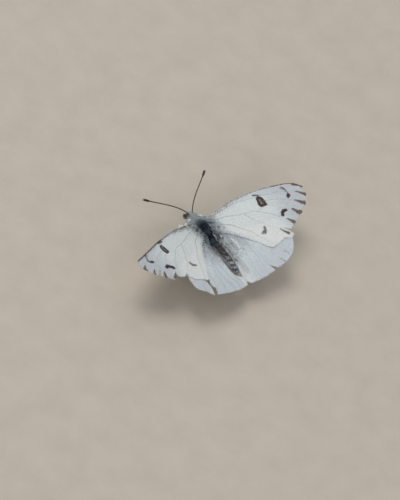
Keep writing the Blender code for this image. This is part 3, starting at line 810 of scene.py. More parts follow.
def hind_shades(f, o, side):
    """A hindwing's white, and how much of each darker shade lies over it."""
    white = toward(WHITE_HIND, WHITE_OUTER, 0.6 * smoothstep((np.hypot(f, o) - 10) / 7))
    cream = bell(o, 0.9, 0.8) * smoothstep((-9.5 - f) / 3)
    white = toward(white, WHITE_CREAM, 0.7 * cream)
    white = toward(white, VEIN_OUTER, 0.3 * veined(HIND_VEINS, f, o))
    streak = cloud(np.stack([0.8 * f, 1.9 * o], -1), 0.8, 9)
    reach = np.hypot((f + 3.4) * 0.8, o * 0.95)
    dust = (0.37 + 0.11 * streak) * np.exp(-(reach / 6.4)**2.2) * (1.0 if side > 0 else 0.8)
    dust = dust + 0.08 * bell(o, 2.6, 1.6) * smoothstep((f + 14) / 5)
    dust = np.maximum(dust, (0.75 + 0.3 * streak) * beside_body(f, o, side))
    if side < 0:
        scratch = stroke(HIND_SCRATCH, f, o, 0.12, 0.16)
        rim = stroke(HIND_SCRATCH, f, o, 0.32, 0.2)
        dust = dust * (1 - scratch) + 0.1 * rim * (1 - scratch)
        white = toward(white, WHITE_CREAM, scratch)
    dust = np.clip(dust * (1 - cream), 0, 0.85)
    fold = bell(o, 1.25, 0.55) * smoothstep((-4.5 - f) / 1.5) * smoothstep((f + 12.5) / 2.5)
    white = toward(white, FOLD_OLIVE, np.clip(fold * (0.4 + 0.2 * streak), 0, 0.9))
    brown = 0.15 * veined(HIND_VEINS, f, o) * smoothstep((-12 - f) / 3)
    if side > 0:
        brown = np.maximum(brown, 0.6 * stroke(HIND_SLIT, f, o, 0.05, 0.2))
    else:
        brown = np.maximum(brown, 0.6 * painted(HIND_DASHES, f, o, 0.24))
    return white, dust, np.zeros_like(f), brown


def under_shades(shades, veins, f, o, side):
    """The underside: the same pattern fainter, with olive scales along the veins."""
    white, dust, mark, brown = shades(f, o, side)
    lined = veined(veins, f, o, 0.14, 0.35)
    white = toward(toward(white, CREAM, 0.35), UNDER_OLIVE, 0.6 * lined)
    return white, 0.35 * dust, 0.7 * mark, 0.6 * brown


def blended(white, dust, mark, brown):
    """The mean colour of a spot, for the membrane under the scales."""
    return toward(toward(toward(white, DUST, dust), WORN_BROWN, brown), MARK, mark)


def picked(white, dust, mark, brown, random):
    """One colour for each scale: the pattern's own, with more or less of the dark in each."""
    count = len(dust)

    def share(amount, scatter):
        return smoothstep((amount + random.uniform(-scatter, scatter, count) - 0.08) / 0.84)

    colour = white * random.uniform(0.94, 1.04, (count, 1))
    colour = toward(colour, DUST * random.uniform(0.8, 1.3, (count, 1)), share(dust, 0.3))
    colour = toward(colour, WORN_BROWN * random.uniform(0.75, 1.2, (count, 1)), share(brown, 0.25))
    return toward(colour, MARK * random.uniform(0.75, 1.25, (count, 1)), share(mark, 0.15))


# A scale: its outline as (along, across), how far each point is lifted, and its faces
VANE_OUTLINE = np.array([(0.0, 0.0), (0.42, -0.5), (0.95, -0.38), (1.0, 0.34), (0.45, 0.5), (0.6, 0.0)])
VANE_RISE = np.array([0.0, 0.55, 0.95, 1.0, 0.6, 1.25])
VANE_FACES = np.array([(0, 1, 5), (1, 2, 5), (2, 3, 5), (3, 4, 5), (4, 0, 5), (0, 4, 3), (0, 3, 2),
                       (0, 2, 1)])
PATCH = 0.003         # how much of the bake map one scale or hair takes up

# Shortest and longest, narrowest and widest, and least and most lifted scales
SCALE_RANGES = ((0.25, 0.31), (0.14, 0.18), (0.035, 0.06))
FRINGE_RANGES = ((0.18, 0.3), (0.05, 0.09), (0.01, 0.05))


def add_vanes(shape, f, o, ways, lengths, widths, height, side, top, tint, lift, low, size):
    """Scales on a wing: each is a closed little vane from its root outwards along its way."""
    count = len(f)
    step = VANE_OUTLINE[None, :, 0] * lengths[:, None]
    off = VANE_OUTLINE[None, :, 1] * widths[:, None]
    vane_f = f[:, None] + step * ways[:, None, 0] - off * ways[:, None, 1]
    vane_o = o[:, None] + step * ways[:, None, 1] + off * ways[:, None, 0]
    sign = 1 if top else -1
    rise = SHEET_THICKNESS / 2 + 0.012 + VANE_RISE[None, :] * lift[:, None]
    heights = height(f, o, side)
    ahead = height(f + ways[:, 0] * lengths, o + ways[:, 1] * lengths, side)
    beside = height(f - ways[:, 1] * widths, o + ways[:, 0] * widths, side)
    slope = (ahead - heights)[:, None] * VANE_OUTLINE[None, :, 0]
    slope = slope + (beside - heights)[:, None] * VANE_OUTLINE[None, :, 1]
    points = wing_points(vane_f, vane_o, heights[:, None] + slope + sign * rise, side)
    order = VANE_FACES if (side > 0) == top else VANE_FACES[:, ::-1]
    faces = order[None] + 6 * np.arange(count)[:, None, None]
    root = (np.stack([o, f], -1) - low) / size
    patches = root[:, None, :] + (VANE_OUTLINE[None, :, ::-1] + (0, -0.5)) * PATCH
    shape.add(points, [faces.reshape(-1, 3)], np.repeat(tint, 6, axis=0), patches.reshape(-1, 2))


def scale_roots(outline, seed):
    """Rows of scale roots in arcs round a place near the hinge, and each scale's way."""
    random = np.random.default_rng(seed)
    centre = np.array(SCALE_CENTRE)
    far = np.linalg.norm(outline - centre, axis=1).max()
    roots = []
    for index, radius in enumerate(np.arange(2.6, far, SCALE_ROW)):
        count = int(radius * 2.6 / SCALE_PITCH)
        angle = (np.arange(count) + 0.5 * (index % 2)) * SCALE_PITCH / radius - 0.35
        arc = np.stack([-radius * np.sin(angle), radius * np.cos(angle)], -1)
        roots.append(centre + arc)
    roots = np.vstack(roots)
    roots += random.uniform(-0.03, 0.03, roots.shape)
    roots = roots[inside(outline, *roots.T)]
    ways = unit(roots - centre)
    turn = random.normal(0, 0.1, len(roots))
    ways = np.stack([ways[:, 0] * np.cos(turn) - ways[:, 1] * np.sin(turn),
                     ways[:, 0] * np.sin(turn) + ways[:, 1] * np.cos(turn)], -1)
    kept = inside(outline, *(roots + 0.22 * ways).T)
    return roots[kept], ways[kept], random


def fringe_roots(margin, outline, seed):
    """Roots along the worn outer margin, where the fringe is still there, pointing out."""
    random = np.random.default_rng(seed)
    roots, ways = [], []
    for start, step, normal, count in runs(margin, FRINGE_STEP):
        if inside(outline, *(start + step / 2 + 0.05 * normal)):
            normal = -normal
        share = (np.arange(count)[:, None] + 0.5) / count
        roots.append(start + step * share - normal * 0.12)
        ways.append(np.broadcast_to(normal, (count, 2)))
    roots, ways = np.vstack(roots), np.vstack(ways)
    kept = cloud(roots, 0.7, seed) + random.normal(0, 0.35, len(roots)) > -0.05
    kept &= inside(outline, *roots.T) & ~inside(outline, *(roots + 0.7 * ways).T)
    return roots[kept], unit(ways[kept] + random.normal(0, 0.14, (kept.sum(), 2))), random


def add_wing(name, node, outline, margin, height, shades, veins, side, seed):
    """A wing: its membrane with veins, and the scales of its upper and under side."""
    shape = Shape()
    add_membrane(shape, outline, height, shades, side, seed)
    add_veins(shape, veins, height, shades, side, outline)
    add_piece(name + "_membrane", shape, MEMBRANE, replaced=[node], smooth=False)
    low = outline[:, ::-1].min(0) - 0.6
    size = (outline[:, ::-1].max(0) - low).max() + 0.6
    for top, word, offset in ((True, "upper", 1), (False, "under", 2)):
        shape = Shape()
        for (roots, ways, random), (lengths, widths, lifts) in (
                (scale_roots(outline, seed + offset), SCALE_RANGES),
                (fringe_roots(margin, outline, seed + offset + 2), FRINGE_RANGES)):
            f, o = roots.T
            shade = shades(f, o, side) if top else under_shades(shades, veins, f, o, side)
            length = random.uniform(*lengths, len(f)) * (0.8 + 0.2 * smoothstep(np.hypot(f, o) / 9))
            width = random.uniform(*widths, len(f))
            tint = picked(*shade, random)
            lift = random.uniform(*lifts, len(f))
            add_vanes(shape, f, o, ways, length, width, height, side, top, tint, lift, low, size)
        add_piece(name + "_scales_" + word, shape, SCALES, smooth=False)


def add_wings():
    """Both forewings and hindwings, with the margins where a fringe is left."""
    for side, word in SIDES:
        margin = [FORE_COSTA[side][-1], *FORE_TERMEN[side], FORE_INNER[0]]
        add_wing("forewing_" + word, "wing_fore_" + word, fore_outline(side), margin,
                 fore_height, fore_shades, FORE_VEINS, side, 100 + 10 * side)
        margin = [*HIND_APEX[side], *HIND_TERMEN]
        add_wing("hindwing_" + word, "wing_hind_" + word, hind_outline(side), margin,
                 hind_height, hind_shades, HIND_VEINS, side, 200 + 10 * side)


# ------------------------------------------------------------------ hair

HAIR_STEPS = np.array([0.0, 0.4, 0.78])   # where its three rings are along a hair
HAIR_TAPER = np.array([0.75, 1.0, 0.6])   # how wide it is there
HAIR_SHADING = [0.72] * 3 + [0.95] * 3 + [1.05] * 3 + [1.1]   # darker at the root, for each point


def hair_faces():
    """Faces of one hair: three rings of three points, and a tip."""
    faces = [(2, 1, 0)]
    for ring in (0, 3):
        for k in range(3):
            a, b = ring + k, ring + (k + 1) % 3
            faces += [(a, b, b + 3), (a, b + 3, a + 3)]
    return np.array([*faces, (6, 7, 9), (7, 8, 9), (8, 6, 9)])


HAIR_FACES = hair_faces()


def add_hairs(shape, roots, ways, normals, lengths, widths, lifts, tints, unwrap):
    """Closed tapering hairs: each leaves its root on its way, lifted, and bends back down."""
    count = len(roots)
    ways = unit(ways - normals * np.sum(ways * normals, axis=1, keepdims=True))
    across = np.cross(ways, normals)
    points = np.empty((count, 10, 3))
    steps = np.append(HAIR_STEPS, 1.0)
    for index, t in enumerate(steps):
        rise = lifts[:, None] * (t - 0.45 * t * t)
        reach = t * np.sqrt(np.clip(1 - (0.8 * lifts[:, None])**2, 0.05, 1))
        centre = roots + lengths[:, None] * (ways * reach + normals * rise)
        if index == len(HAIR_STEPS):
            points[:, 9] = centre
            break
        half = (widths * HAIR_TAPER[index])[:, None] / 2
        points[:, 3 * index] = centre + across * half
        points[:, 3 * index + 1] = centre - across * half
        points[:, 3 * index + 2] = centre + normals * half * 0.9
    faces = HAIR_FACES[None] + 10 * np.arange(count)[:, None, None]
    tint = tints[:, None, :] * np.array(HAIR_SHADING)[None, :, None]
    offsets = np.array([(side, t) for t in HAIR_STEPS for side in (-0.5, 0.5, 0.0)] + [(0.0, 1.0)])
    patches = unwrap[:, None, :] + offsets[None] * PATCH
    shape.add(points, [faces.reshape(-1, 3)], tint.reshape(-1, 3), patches.reshape(-1, 2))


def surface_roots(points, faces, wanted, count, seed):
    """Random places on a surface, thickest where wanted(places) is highest, and the normals there."""
    random = np.random.default_rng(seed)
    a, b, c = (points[faces[:, k]] for k in range(3))
    cross = np.cross(b - a, c - a)
    weight = np.linalg.norm(cross, axis=1) * wanted((a + b + c) / 3)
    chosen = random.choice(len(faces), count, p=weight / weight.sum())
    u, v = random.uniform(size=(2, count, 1))
    over = u + v > 1
    u, v = np.where(over, 1 - u, u), np.where(over, 1 - v, v)
    roots = a[chosen] + u * (b - a)[chosen] + v * (c - a)[chosen]
    return roots, unit(cross[chosen]), random


# ------------------------------------------------------------------ body

def stations(profile, steps, coat):
    """A body part's profile made smooth, drawn in by its coat's depth."""
    lofted = smooth_line(profile, steps)
    lofted[:, 1:] = np.maximum(lofted[:, 1:] - coat, 0.08)
    return lofted


def add_loft(shape, profile, sides=48):
    """A closed body part through rings at these stations, with rounded ends."""
    turn = np.arange(sides) * 2 * pi / sides
    rings = []
    for forward, half_width, top, bottom in profile:
        height = np.where(np.sin(turn) > 0, top, bottom) * np.sin(turn)
        rings.append(np.stack([half_width * np.cos(turn), np.full(sides, -forward), height], -1))
    start, end = (0, -profile[0][0] - 0.12, 0), (0, -profile[-1][0] + 0.12, 0)
    shape.add(*capped(rings, start, end), (1, 1, 1))


def ring_height(f):
    """How high an abdomen's ring stands: 1 in its middle, 0 in the grooves beside it."""
    first, last = ABDOMEN[0][0], ABDOMEN[-1][0]
    share = (first - f) / (first - last) * ABDOMEN_RINGS
    return np.abs(np.sin(pi * share))


def add_ball(shape, centre, radii, rings=14, sides=24):
    """An ellipsoid; its centre and radii are (left, forward, up)."""
    angle = np.linspace(0.08, pi - 0.08, rings)
    turn = np.arange(sides) * 2 * pi / sides
    ball = np.stack([np.outer(np.sin(angle), np.cos(turn)), np.outer(np.sin(angle), np.sin(turn)),
                     np.repeat(np.cos(angle)[:, None], sides, 1)], -1)
    centre, pole = np.array(centre), np.array([0, 0, radii[2]])
    points = body_points(centre + ball * np.array(radii))
    shape.add(*capped(points, body_points(centre + pole), body_points(centre - pole)), (1, 1, 1))


# Lumps on each side of head and thorax: where the middle is, and the radii
LUMPS = [
    ((0.42, 3.33, 0.66), (0.2, 0.2, 0.17)), ((1.15, 1.25, 0.8), (0.5, 0.75, 0.3)),
    ((1.0, 1.95, 0.6), (0.4, 0.42, 0.3)), ((0.78, 2.45, 0.58), (0.36, 0.36, 0.28)),
    ((1.95, 0.85, 0.75), (0.55, 0.5, 0.34)), ((1.1, 2.15, 0.22), (0.24, 0.36, 0.32)),
    ((1.98, 1.42, -0.12), (0.34, 0.42, 0.46)), ((1.2, -1.3, 0.9), (0.55, 0.8, 0.4)),
    ((0.62, 1.3, -1.35), (0.45, 0.6, 0.75)), ((0.62, -0.35, -1.35), (0.45, 0.6, 0.75)),
    ((0.62, -1.95, -1.35), (0.45, 0.6, 0.75))]


def body_lofts():
    """The fleshy parts of the body, in mm, before they are melted into one skin."""
    shape = Shape()
    add_loft(shape, stations(THORAX, 5, THORAX_COAT))
    abdomen = stations(ABDOMEN, 10, ABDOMEN_COAT)
    abdomen[:, 1:] *= (0.955 + 0.045 * ring_height(abdomen[:, 0])**0.35)[:, None]
    add_loft(shape, abdomen)
    add_loft(shape, stations(HEAD, 6, HEAD_COAT))
    neck, waist = [(0, 1.9, 0), (0, 2.8, 0)], [(0, -3.2, 0), (0, -4.4, -0.05)]
    add_tube(shape, body_points(neck), NECK_RADIUS, 20)
    add_tube(shape, body_points(waist), WAIST_RADIUS, 24)
    add_ball(shape, (0, 3.62, -0.25), (0.44, 0.3, 0.42))
    turn = np.linspace(0, 2 * pi, 33)
    for side, _ in SIDES:
        palp = smooth_line(PALP, 6) * (side, 1, 1)
        share = np.linspace(0, 1, len(palp))
        radii = np.interp(share, [0, 0.5, 0.7, 1], [0.16, 0.15, 0.11, 0.07])
        add_tube(shape, body_points(palp), radii)
        rim = np.stack([np.full(33, 0.6), EYE_CENTRE[1] + 0.6 * np.cos(turn), 0.64 * np.sin(turn)], -1)
        add_tube(shape, body_points(rim * (side, 1, 1)), 0.05)
        for centre, radii in LUMPS:
            add_ball(shape, np.array(centre) * (side, 1, 1), radii)
    return shape


def melted(shape, voxel=0.065):
    """One smooth skin round a shape's parts: its points and triangles, in mm."""
    rough = add_object("rough", shape.mesh("rough", Matrix.Identity(4)))
    remesh = rough.modifiers.new("remesh", "REMESH")
    remesh.mode = "VOXEL"
    remesh.voxel_size = voxel
    even = rough.modifiers.new("smooth", "SMOOTH")
    even.iterations = 3
    whole = rough.evaluated_get(bpy.context.evaluated_depsgraph_get()).to_mesh()
    points = np.empty(len(whole.vertices) * 3, np.float32)
    whole.vertices.foreach_get("co", points)
    whole.calc_loop_triangles()
    faces = np.empty(len(whole.loop_triangles) * 3, np.int32)
    whole.loop_triangles.foreach_get("vertices", faces)
    bpy.data.objects.remove(rough)
    return points.reshape(-1, 3).astype(float), faces.reshape(-1, 3)


# The darkest places on the thorax's back: (left, forward, reach)
THORAX_SPOTS = [(0.1, -0.15, 0.8), (0.3, -1.05, 0.85), (1.35, -0.9, 0.6), (-0.6, -2.5, 0.8),
                (0.3, -3.6, 1.1)]


def thorax_tint(places):
    """Hair colour on thorax and head: slate with black spots on the back, pale in front and below."""
    l, f, u = from_body(places)
    streak = cloud(places * (2.6, 0.5, 2.6), 0.8, 3)
    back = smoothstep((u + 0.4) / 1.0)
    spots = np.max([bell(np.hypot(l - left, f - ahead), 0, reach)
                    for left, ahead, reach in THORAX_SPOTS], axis=0)
    core = smoothstep((2.1 + 0.35 * (l > 0) - np.abs(l)) / 1.3) * smoothstep((0.95 - f) / 1.5) * back
    tint = toward(BLUE_GREY, SLATE, smoothstep((2.3 - np.abs(l)) / 1.0))
    tint = toward(tint, BLUE_BLACK, np.clip(core * (0.42 + 0.95 * spots + 0.3 * streak), 0, 1))
    tint = toward(tint, COLLAR_GREEN, smoothstep((f - 0.15 - 0.25 * (np.abs(l) < 1.2)) / 0.95))
    tint = toward(tint, HEAD_GREEN, smoothstep((f - 2.4) / 0.5))
    tint = toward(tint, PALP_GREY, 0.8 * smoothstep((f - 3.45) / 0.3))
    tint = toward(tint, BLUE_BLACK, np.clip(0.3 * streak * smoothstep((1.6 - f) / 0.6), 0, 1))
    tuft = toward(WHITE_CREAM * 1.2, LAVENDER_WHITE, smoothstep((1.7 - f) / 0.2))
    tint = toward(tint, tuft, np.clip(2.6 * white_tufts(places), 0, 1))
    below = smoothstep((-0.15 - u) / 0.8) * (1 - 0.7 * smoothstep((f - 2.6) / 0.4))
    return toward(tint, SCALE_WHITE * 0.92, below)


def abdomen_tint(places):
    """Scale colour on the abdomen: slate in front, brown-grey and mottled pale behind, with painted shade
    down the right flank and a paler left flank that is partly painted light.
    """
    l, f, u = from_body(places)
    ring = ring_height(f)
    middle = smoothstep((-5.4 - f) / 1.5)
    rear = smoothstep((-7.2 - f) / 5.0)
    across = l / np.interp(-f, [3.9, 8.0, 12.4, 14.0], [1.05, 1.25, 0.96, 0.3])
    coarse = cloud(places * (1.0, 1.0, 0.6), 0.52, 8)
    fine = cloud(places, 0.24, 12)
    mottle = 0.36 + 0.22 * coarse + 0.3 * fine + 0.55 * (ring - 0.5) * bell(across, 0.0, 0.5)
    blotch = smoothstep((mottle - 0.1) / 0.65) * (0.35 + 0.65 * smoothstep((ring - 0.05) / 0.35))
    dark = toward(toward(srgb(22, 26, 32), srgb(50, 47, 50), middle), srgb(90, 90, 95), rear)
    pale = toward(toward(srgb(66, 72, 82), srgb(102, 97, 98), middle), srgb(208, 210, 214), rear)
    tint = toward(dark, pale, blotch)
    # Painted shade: a dark line down the right flank, where the abdomen meets the hindwing; a fainter
    # thin dark line on the left flank.
    line = np.maximum(bell(across, -0.66, 0.2), 0.5 * bell(across, 0.6, 0.09))
    line = line * smoothstep((-6.0 - f) / 2)
    tint = toward(tint, srgb(54, 56, 62), np.clip(1.1 * line, 0, 1) * smoothstep((u + 0.2) / 0.3))
    tint = toward(tint, srgb(206, 204, 198), 0.8 * smoothstep((-13.2 - f) / 0.5))
    # The pale band on the left flank only: partly the flank's own pale scales, partly painted light on
    # the lit side.
    cream = smoothstep((across - 0.62) / 0.16) * smoothstep((-5.0 - f) / 1.5)
    tint = toward(tint, srgb(168, 166, 158), cream * np.clip(0.75 + 0.5 * coarse, 0, 1))
    return toward(tint, SCALE_WHITE * 0.9, smoothstep((-0.25 - u) / 0.35))


def body_unwrap(places):
    """Round the body by angle and along it by place: the coat's bake map."""
    u = np.arctan2(places[:, 0], places[:, 2]) / (2 * pi) + 0.5
    v = (places[:, 1] + 5.5) / 21
    return np.clip(np.stack([u, v], -1), 0.004, 0.996)


def white_tufts(places):
    """1 on the white tufts behind the eyes and below the shoulders, 0 away from them."""
    l, f, u = from_body(places)
    l = np.abs(l)
    return np.maximum(bell(l, 1.36, 0.34) * bell(f, 1.98, 0.34) * bell(u, 0.5, 0.36),
                      bell(l, 2.2, 0.45) * bell(f, 1.45, 0.45) * bell(u, 0.0, 0.6))


def lies(places, outward, down):
    """Backward, spreading to the sides and down them."""
    side = np.sign(places[:, 0]) * smoothstep(np.abs(places[:, 0]) / 0.8)
    return np.stack([side * outward, np.ones(len(places)), -down * np.abs(side)], -1)


# Where each kind of hair is wanted on the skin, and how thickly.

def thorax_wanted(places):
    _, f, u = from_body(places)
    return ((f > -3.9) & (f < 2.55)) * (1 - 0.6 * smoothstep((-0.9 - u) / 0.5))


def side_wanted(places):
    l, f, u = from_body(places)
    return (np.abs(l) > 0.9) & (f > -3.7) & (f < 0.3) & (u > 0.45)


def tufts_wanted(places):
    return white_tufts(places)**1.3


def head_wanted(places):
    """The whole head but for its eyes."""
    l, f, u = from_body(places)
    offset = (np.abs(l) - EYE_CENTRE[0], f - EYE_CENTRE[1], u)
    reach = sum((value / (radius + 0.09))**2 for value, radius in zip(offset, EYE_RADII))
    return (f > 2.3) & (reach > 1)


def abdomen_wanted(places):
    return -places[:, 1] < -3.7


# How each kind of hair looks: its ways, lengths, widths, lifts and tints.

def thorax_look(roots, random, seed, shortest, longest, width, lift):
    """Backward, but forward on the collar and outward on the shoulders."""
    count = len(roots)
    l, f, u = from_body(roots)
    one = np.ones(count)
    collar = smoothstep((f - 1.25) / 0.4)
    shoulder = smoothstep((np.abs(l) - 1.45) / 0.4) * smoothstep((f - 0.4) / 0.4)
    ahead = np.stack([0.75 * l, -0.35 * one, 0.3 * u], -1)
    aside = np.stack([np.sign(l), 0.25 * one, 0.05 * one], -1)
    way = toward(toward(lies(roots, 0.4, 0.1), ahead, collar), aside, shoulder)
    way = toward(way, lies(roots, 0.15, 0.5), np.clip(2.0 * white_tufts(roots), 0, 1))
    way += random.normal(0, 0.16, (count, 3))
    way += 0.2 * np.stack([cloud(roots, 0.8, seed + k) for k in range(3)], -1)
    shade = thorax_tint(roots) * random.uniform(0.78, 1.22, (count, 1))
    pale = random.uniform(size=count) < 0.12
    shade = toward(shade, BLUE_GREY * 1.1, 0.55 * (pale & (f < 1.2)))
    shorter = 1 - 0.4 * np.maximum(collar, shoulder) - 0.3 * smoothstep((-0.8 - u) / 0.8)
    length = random.uniform(shortest, longest, count) * shorter
    return way, length, width, random.uniform(0.5, 1.2, count) * lift, shade


def side_look(roots, random):
    """Long, from the sides of the back out over the wings' roots: the longest are the palest."""
    count = len(roots)
    side, f = np.sign(roots[:, 0]), -roots[:, 1]
    rearward = smoothstep((-0.4 - f) / 3.2)
    way = np.stack([side, 0.25 + 1.5 * rearward, 0.1 - 0.5 * rearward], -1)
    way += random.normal(0, 0.26, (count, 3))
    length = 0.4 + 1.6 * random.uniform(size=count)**1.8
    length = length * np.where(side > 0, 0.9, 1.15) * (0.6 + 0.4 * smoothstep((-f - 0.2) / 1.0))
    streak = cloud(roots * (1.0, 2.6, 1.0), 0.6, 27)
    paler = (length - 0.75) / 0.9 + 0.4 * streak - np.where(side > 0, 0.4, 0.32)
    shade = toward(SLATE * 0.75, WHITE_HIND, np.clip(paler, 0, 1))
    shade = shade * random.uniform(0.7, 1.2, (count, 1))
    return way, length, 0.028, random.uniform(0.1, 0.4, count), shade


def tuft_look(roots, random):
    """The white tuft behind each eye and the pale one below each shoulder."""
    count = len(roots)
    way = lies(roots, 0.2, 0.4) + random.normal(0, 0.14, (count, 3))
    behind = smoothstep((1.7 + roots[:, 1]) / 0.2)
    # Painted light: these tints are pushed brighter than white to make up for the shade the hairs cast on
    # each other.
    shade = toward(WHITE_CREAM * 1.5, LAVENDER_WHITE * 1.25, behind)
    shade = shade * random.uniform(0.85, 1.05, (count, 1))
    length = random.uniform(0.4, 0.65, count)
    return way, length, 0.09, random.uniform(0.4, 0.7, count), shade


def head_look(roots, random):
    """Forward on the face, back on the nape, short round the eyes, black hairs on the palps."""
    count = len(roots)
    l, f, u = from_body(roots)
    one = np.ones(count)
    nape = f < 2.9
    palps = f > 3.7
    face = np.stack([0.3 * np.sign(l), -0.9 * (u < 0.35) - 0.4, 0.5 * (u > 0.2) - 0.2], -1)
    back = np.stack([0.3 * np.sign(l), 0.6 * one, 0.4 * one], -1)
    way = np.where(nape[:, None], back, face) + random.normal(0, 0.3, (count, 3))
    rim = bell(np.hypot(f - EYE_CENTRE[1], u), 0.68, 0.12) * (np.abs(l) > 0.45)
    length = random.uniform(0.2, 0.38, count) + 0.2 * nape - 0.06 * palps
    length = length * (1 - 0.5 * rim * (f > 2.9))
    shade = thorax_tint(roots) * random.uniform(0.78, 1.2, (count, 1))
    black = (random.uniform(size=count) < 0.22) & palps
    shade = np.where(black[:, None], BLUE_BLACK * 1.2, shade)
    return way, length, 0.035, random.uniform(0.4, 0.9, count), shade


def abdomen_look(roots, random):
    """Short flat scales that point backward."""
    count = len(roots)
    way = lies(roots, 0.08, 0.05) + random.normal(0, 0.1, (count, 3))
    shade = abdomen_tint(roots) * random.uniform(0.85, 1.15, (count, 1))
    length = random.uniform(0.18, 0.3, count)
    width = random.uniform(0.055, 0.08, count)
    return way, length, width, random.uniform(0.1, 0.3, count), shade


# The body's coat: slot, where it is wanted, hairs, seed, look, and the look's own numbers.  The
# thorax has two layers, a dense short felt and looser longer hairs over it.
COATS = {
    "thorax_felt": ("thorax_hair", thorax_wanted, 8500, 61, thorax_look, 61, 0.35, 0.6, 0.055, 0.42),
    "thorax_hair": ("thorax_hair", thorax_wanted, 8500, 62, thorax_look, 62, 0.6, 1.15, 0.036, 0.45),
    "thorax_side_hair": ("thorax_hair", side_wanted, 2400, 65, side_look),
    "white_tufts": ("thorax_hair", tufts_wanted, 1500, 66, tuft_look),
    "head_hair": ("head_hair", head_wanted, 5200, 63, head_look),
    "abdomen_scales": ("abdomen_scales", abdomen_wanted, 11000, 64, abdomen_look)}


def add_body():
    """One skin for head, palps, thorax and abdomen, and the coat on it."""
    points, faces = melted(body_lofts())
    front = points[:, 1] < 3.8
    tint = np.where(front[:, None], thorax_tint(points) * 0.45, abdomen_tint(points) * 0.55)
    tint = toward(tint, WHITE_CREAM, np.clip(1.5 * white_tufts(points), 0, 0.9))
    skin = Shape()
    skin.add(points, [faces], tint)
    add_piece("body_skin", skin, SKIN,
              replaced=["head", "thorax", "abdomen", "palp_left", "palp_right"])
    for name, (slot, wanted, count, seed, look, *numbers) in COATS.items():
        roots, normals, random = surface_roots(points, faces, wanted, count, seed)
        way, length, width, lift, shade = look(roots, random, *numbers)
        width = np.broadcast_to(width, count)
        shape = Shape()
        add_hairs(shape, roots, way, normals, length, width, lift, shade, body_unwrap(roots))
        add_piece(name, shape, HAIR)


def base_hair(height, side, f, o, rise, high, shade, random):
    """Hairs on a wing, swept out and back from its root: what add_hairs needs."""
    count = len(f)
    way = unit(np.stack([f - 0.3, o + 0.35], -1)) + random.normal(0, 0.16, (count, 2))
    way = unit(way)
    length = 0.4 + (high - 0.4) * random.uniform(0, 1, count)**1.3
    length = length * (1 - 0.5 * smoothstep((np.hypot(f, o) - 1.6) / 2.0) * (height is fore_height))
    level = height(f, o, side) + SHEET_THICKNESS / 2 + rise
    ahead_f, ahead_o = f + way[:, 0] * length, o + way[:, 1] * length
    roots = wing_points(f, o, level, side)
    tips = wing_points(ahead_f, ahead_o, height(ahead_f, ahead_o, side) + 0.09, side)
    normals = np.broadcast_to((-side * sin(WING_DIHEDRAL), 0, cos(WING_DIHEDRAL)), roots.shape)
    unwrap = np.stack([(o + 1) / 30, (f + 20) / 30], -1)
    lifts = random.uniform(0.05, 0.2, count)
    return roots, tips - roots, normals, length, np.full(count, 0.027), lifts, shade, unwrap


def add_wing_hair():
    """Long hair that lies over the wing bases and along the inner parts of the hindwings."""
    for (side, word), count, reach, darkest, inner in zip(
            SIDES, (1500, 1900), (3.6, 3.3), (0.95, 0.7), (2900, 1700)):
        shape = Shape()
        random = np.random.default_rng(71 + side)
        f = random.uniform(-3.6, 0.1, count)
        o = 0.9 + 2.9 * random.uniform(0, 1, count)**1.7
        streak = cloud(np.stack([f * 3.2, o * 0.5], -1), 0.6, 21)
        dark = smoothstep((reach - o) / 1.8) * smoothstep((0.1 - f) / 0.8)
        dark = np.clip(darkest * dark + 0.6 * streak * (o < 3.4), 0, 1)
        shade = toward(WHITE_HIND, SLATE * 0.7, dark) * random.uniform(0.75, 1.15, (count, 1))
        rise = np.where(random.uniform(size=count) < 0.6, 0.04, 0.12)
        add_hairs(shape, *base_hair(fore_height, side, f, o, rise, 1.3, shade, random))
        f = random.uniform(-10.5, -2.2, inner)
        o = 1.3 + 4.4 * random.uniform(0, 1, inner)**1.7
        kept = (f < fore_edge(o) + 0.3) & (random.uniform(size=inner) < smoothstep((f + 11.0) / 5))
        if side < 0:
            kept &= stroke(HIND_SCRATCH, f - 0.3, o, 0.3, 0.3) < 0.5
        f, o = f[kept], o[kept]
        strands = np.stack([f * 0.5, o * 2.4], -1)
        dark = np.clip(0.4 + 0.5 * cloud(strands, 0.8, 22), 0, 1)
        dark = dark * smoothstep((6.0 - np.hypot(0.7 * (f + 3), o)) / 4)
        streak = cloud(strands, 0.8, 23)
        dark = np.maximum(dark, (0.85 + 0.35 * streak) * beside_body(f, o, side))
        shade = toward(WHITE_HIND, SLATE * 0.8, dark)
        fold = bell(o, 1.3, 0.5) * smoothstep((-5 - f) / 1.5) * random.uniform(0, 1.2, len(f))
        shade = toward(shade, FOLD_OLIVE, 0.5 * np.clip(fold, 0, 1))
        shade = shade * random.uniform(0.85, 1.1, (len(f), 1))
        add_hairs(shape, *base_hair(hind_height, side, f, o, 0.05, 1.4, shade, random))
        add_piece("wing_base_hair_" + word, shape, HAIR)


# ------------------------------------------------------------------ head parts

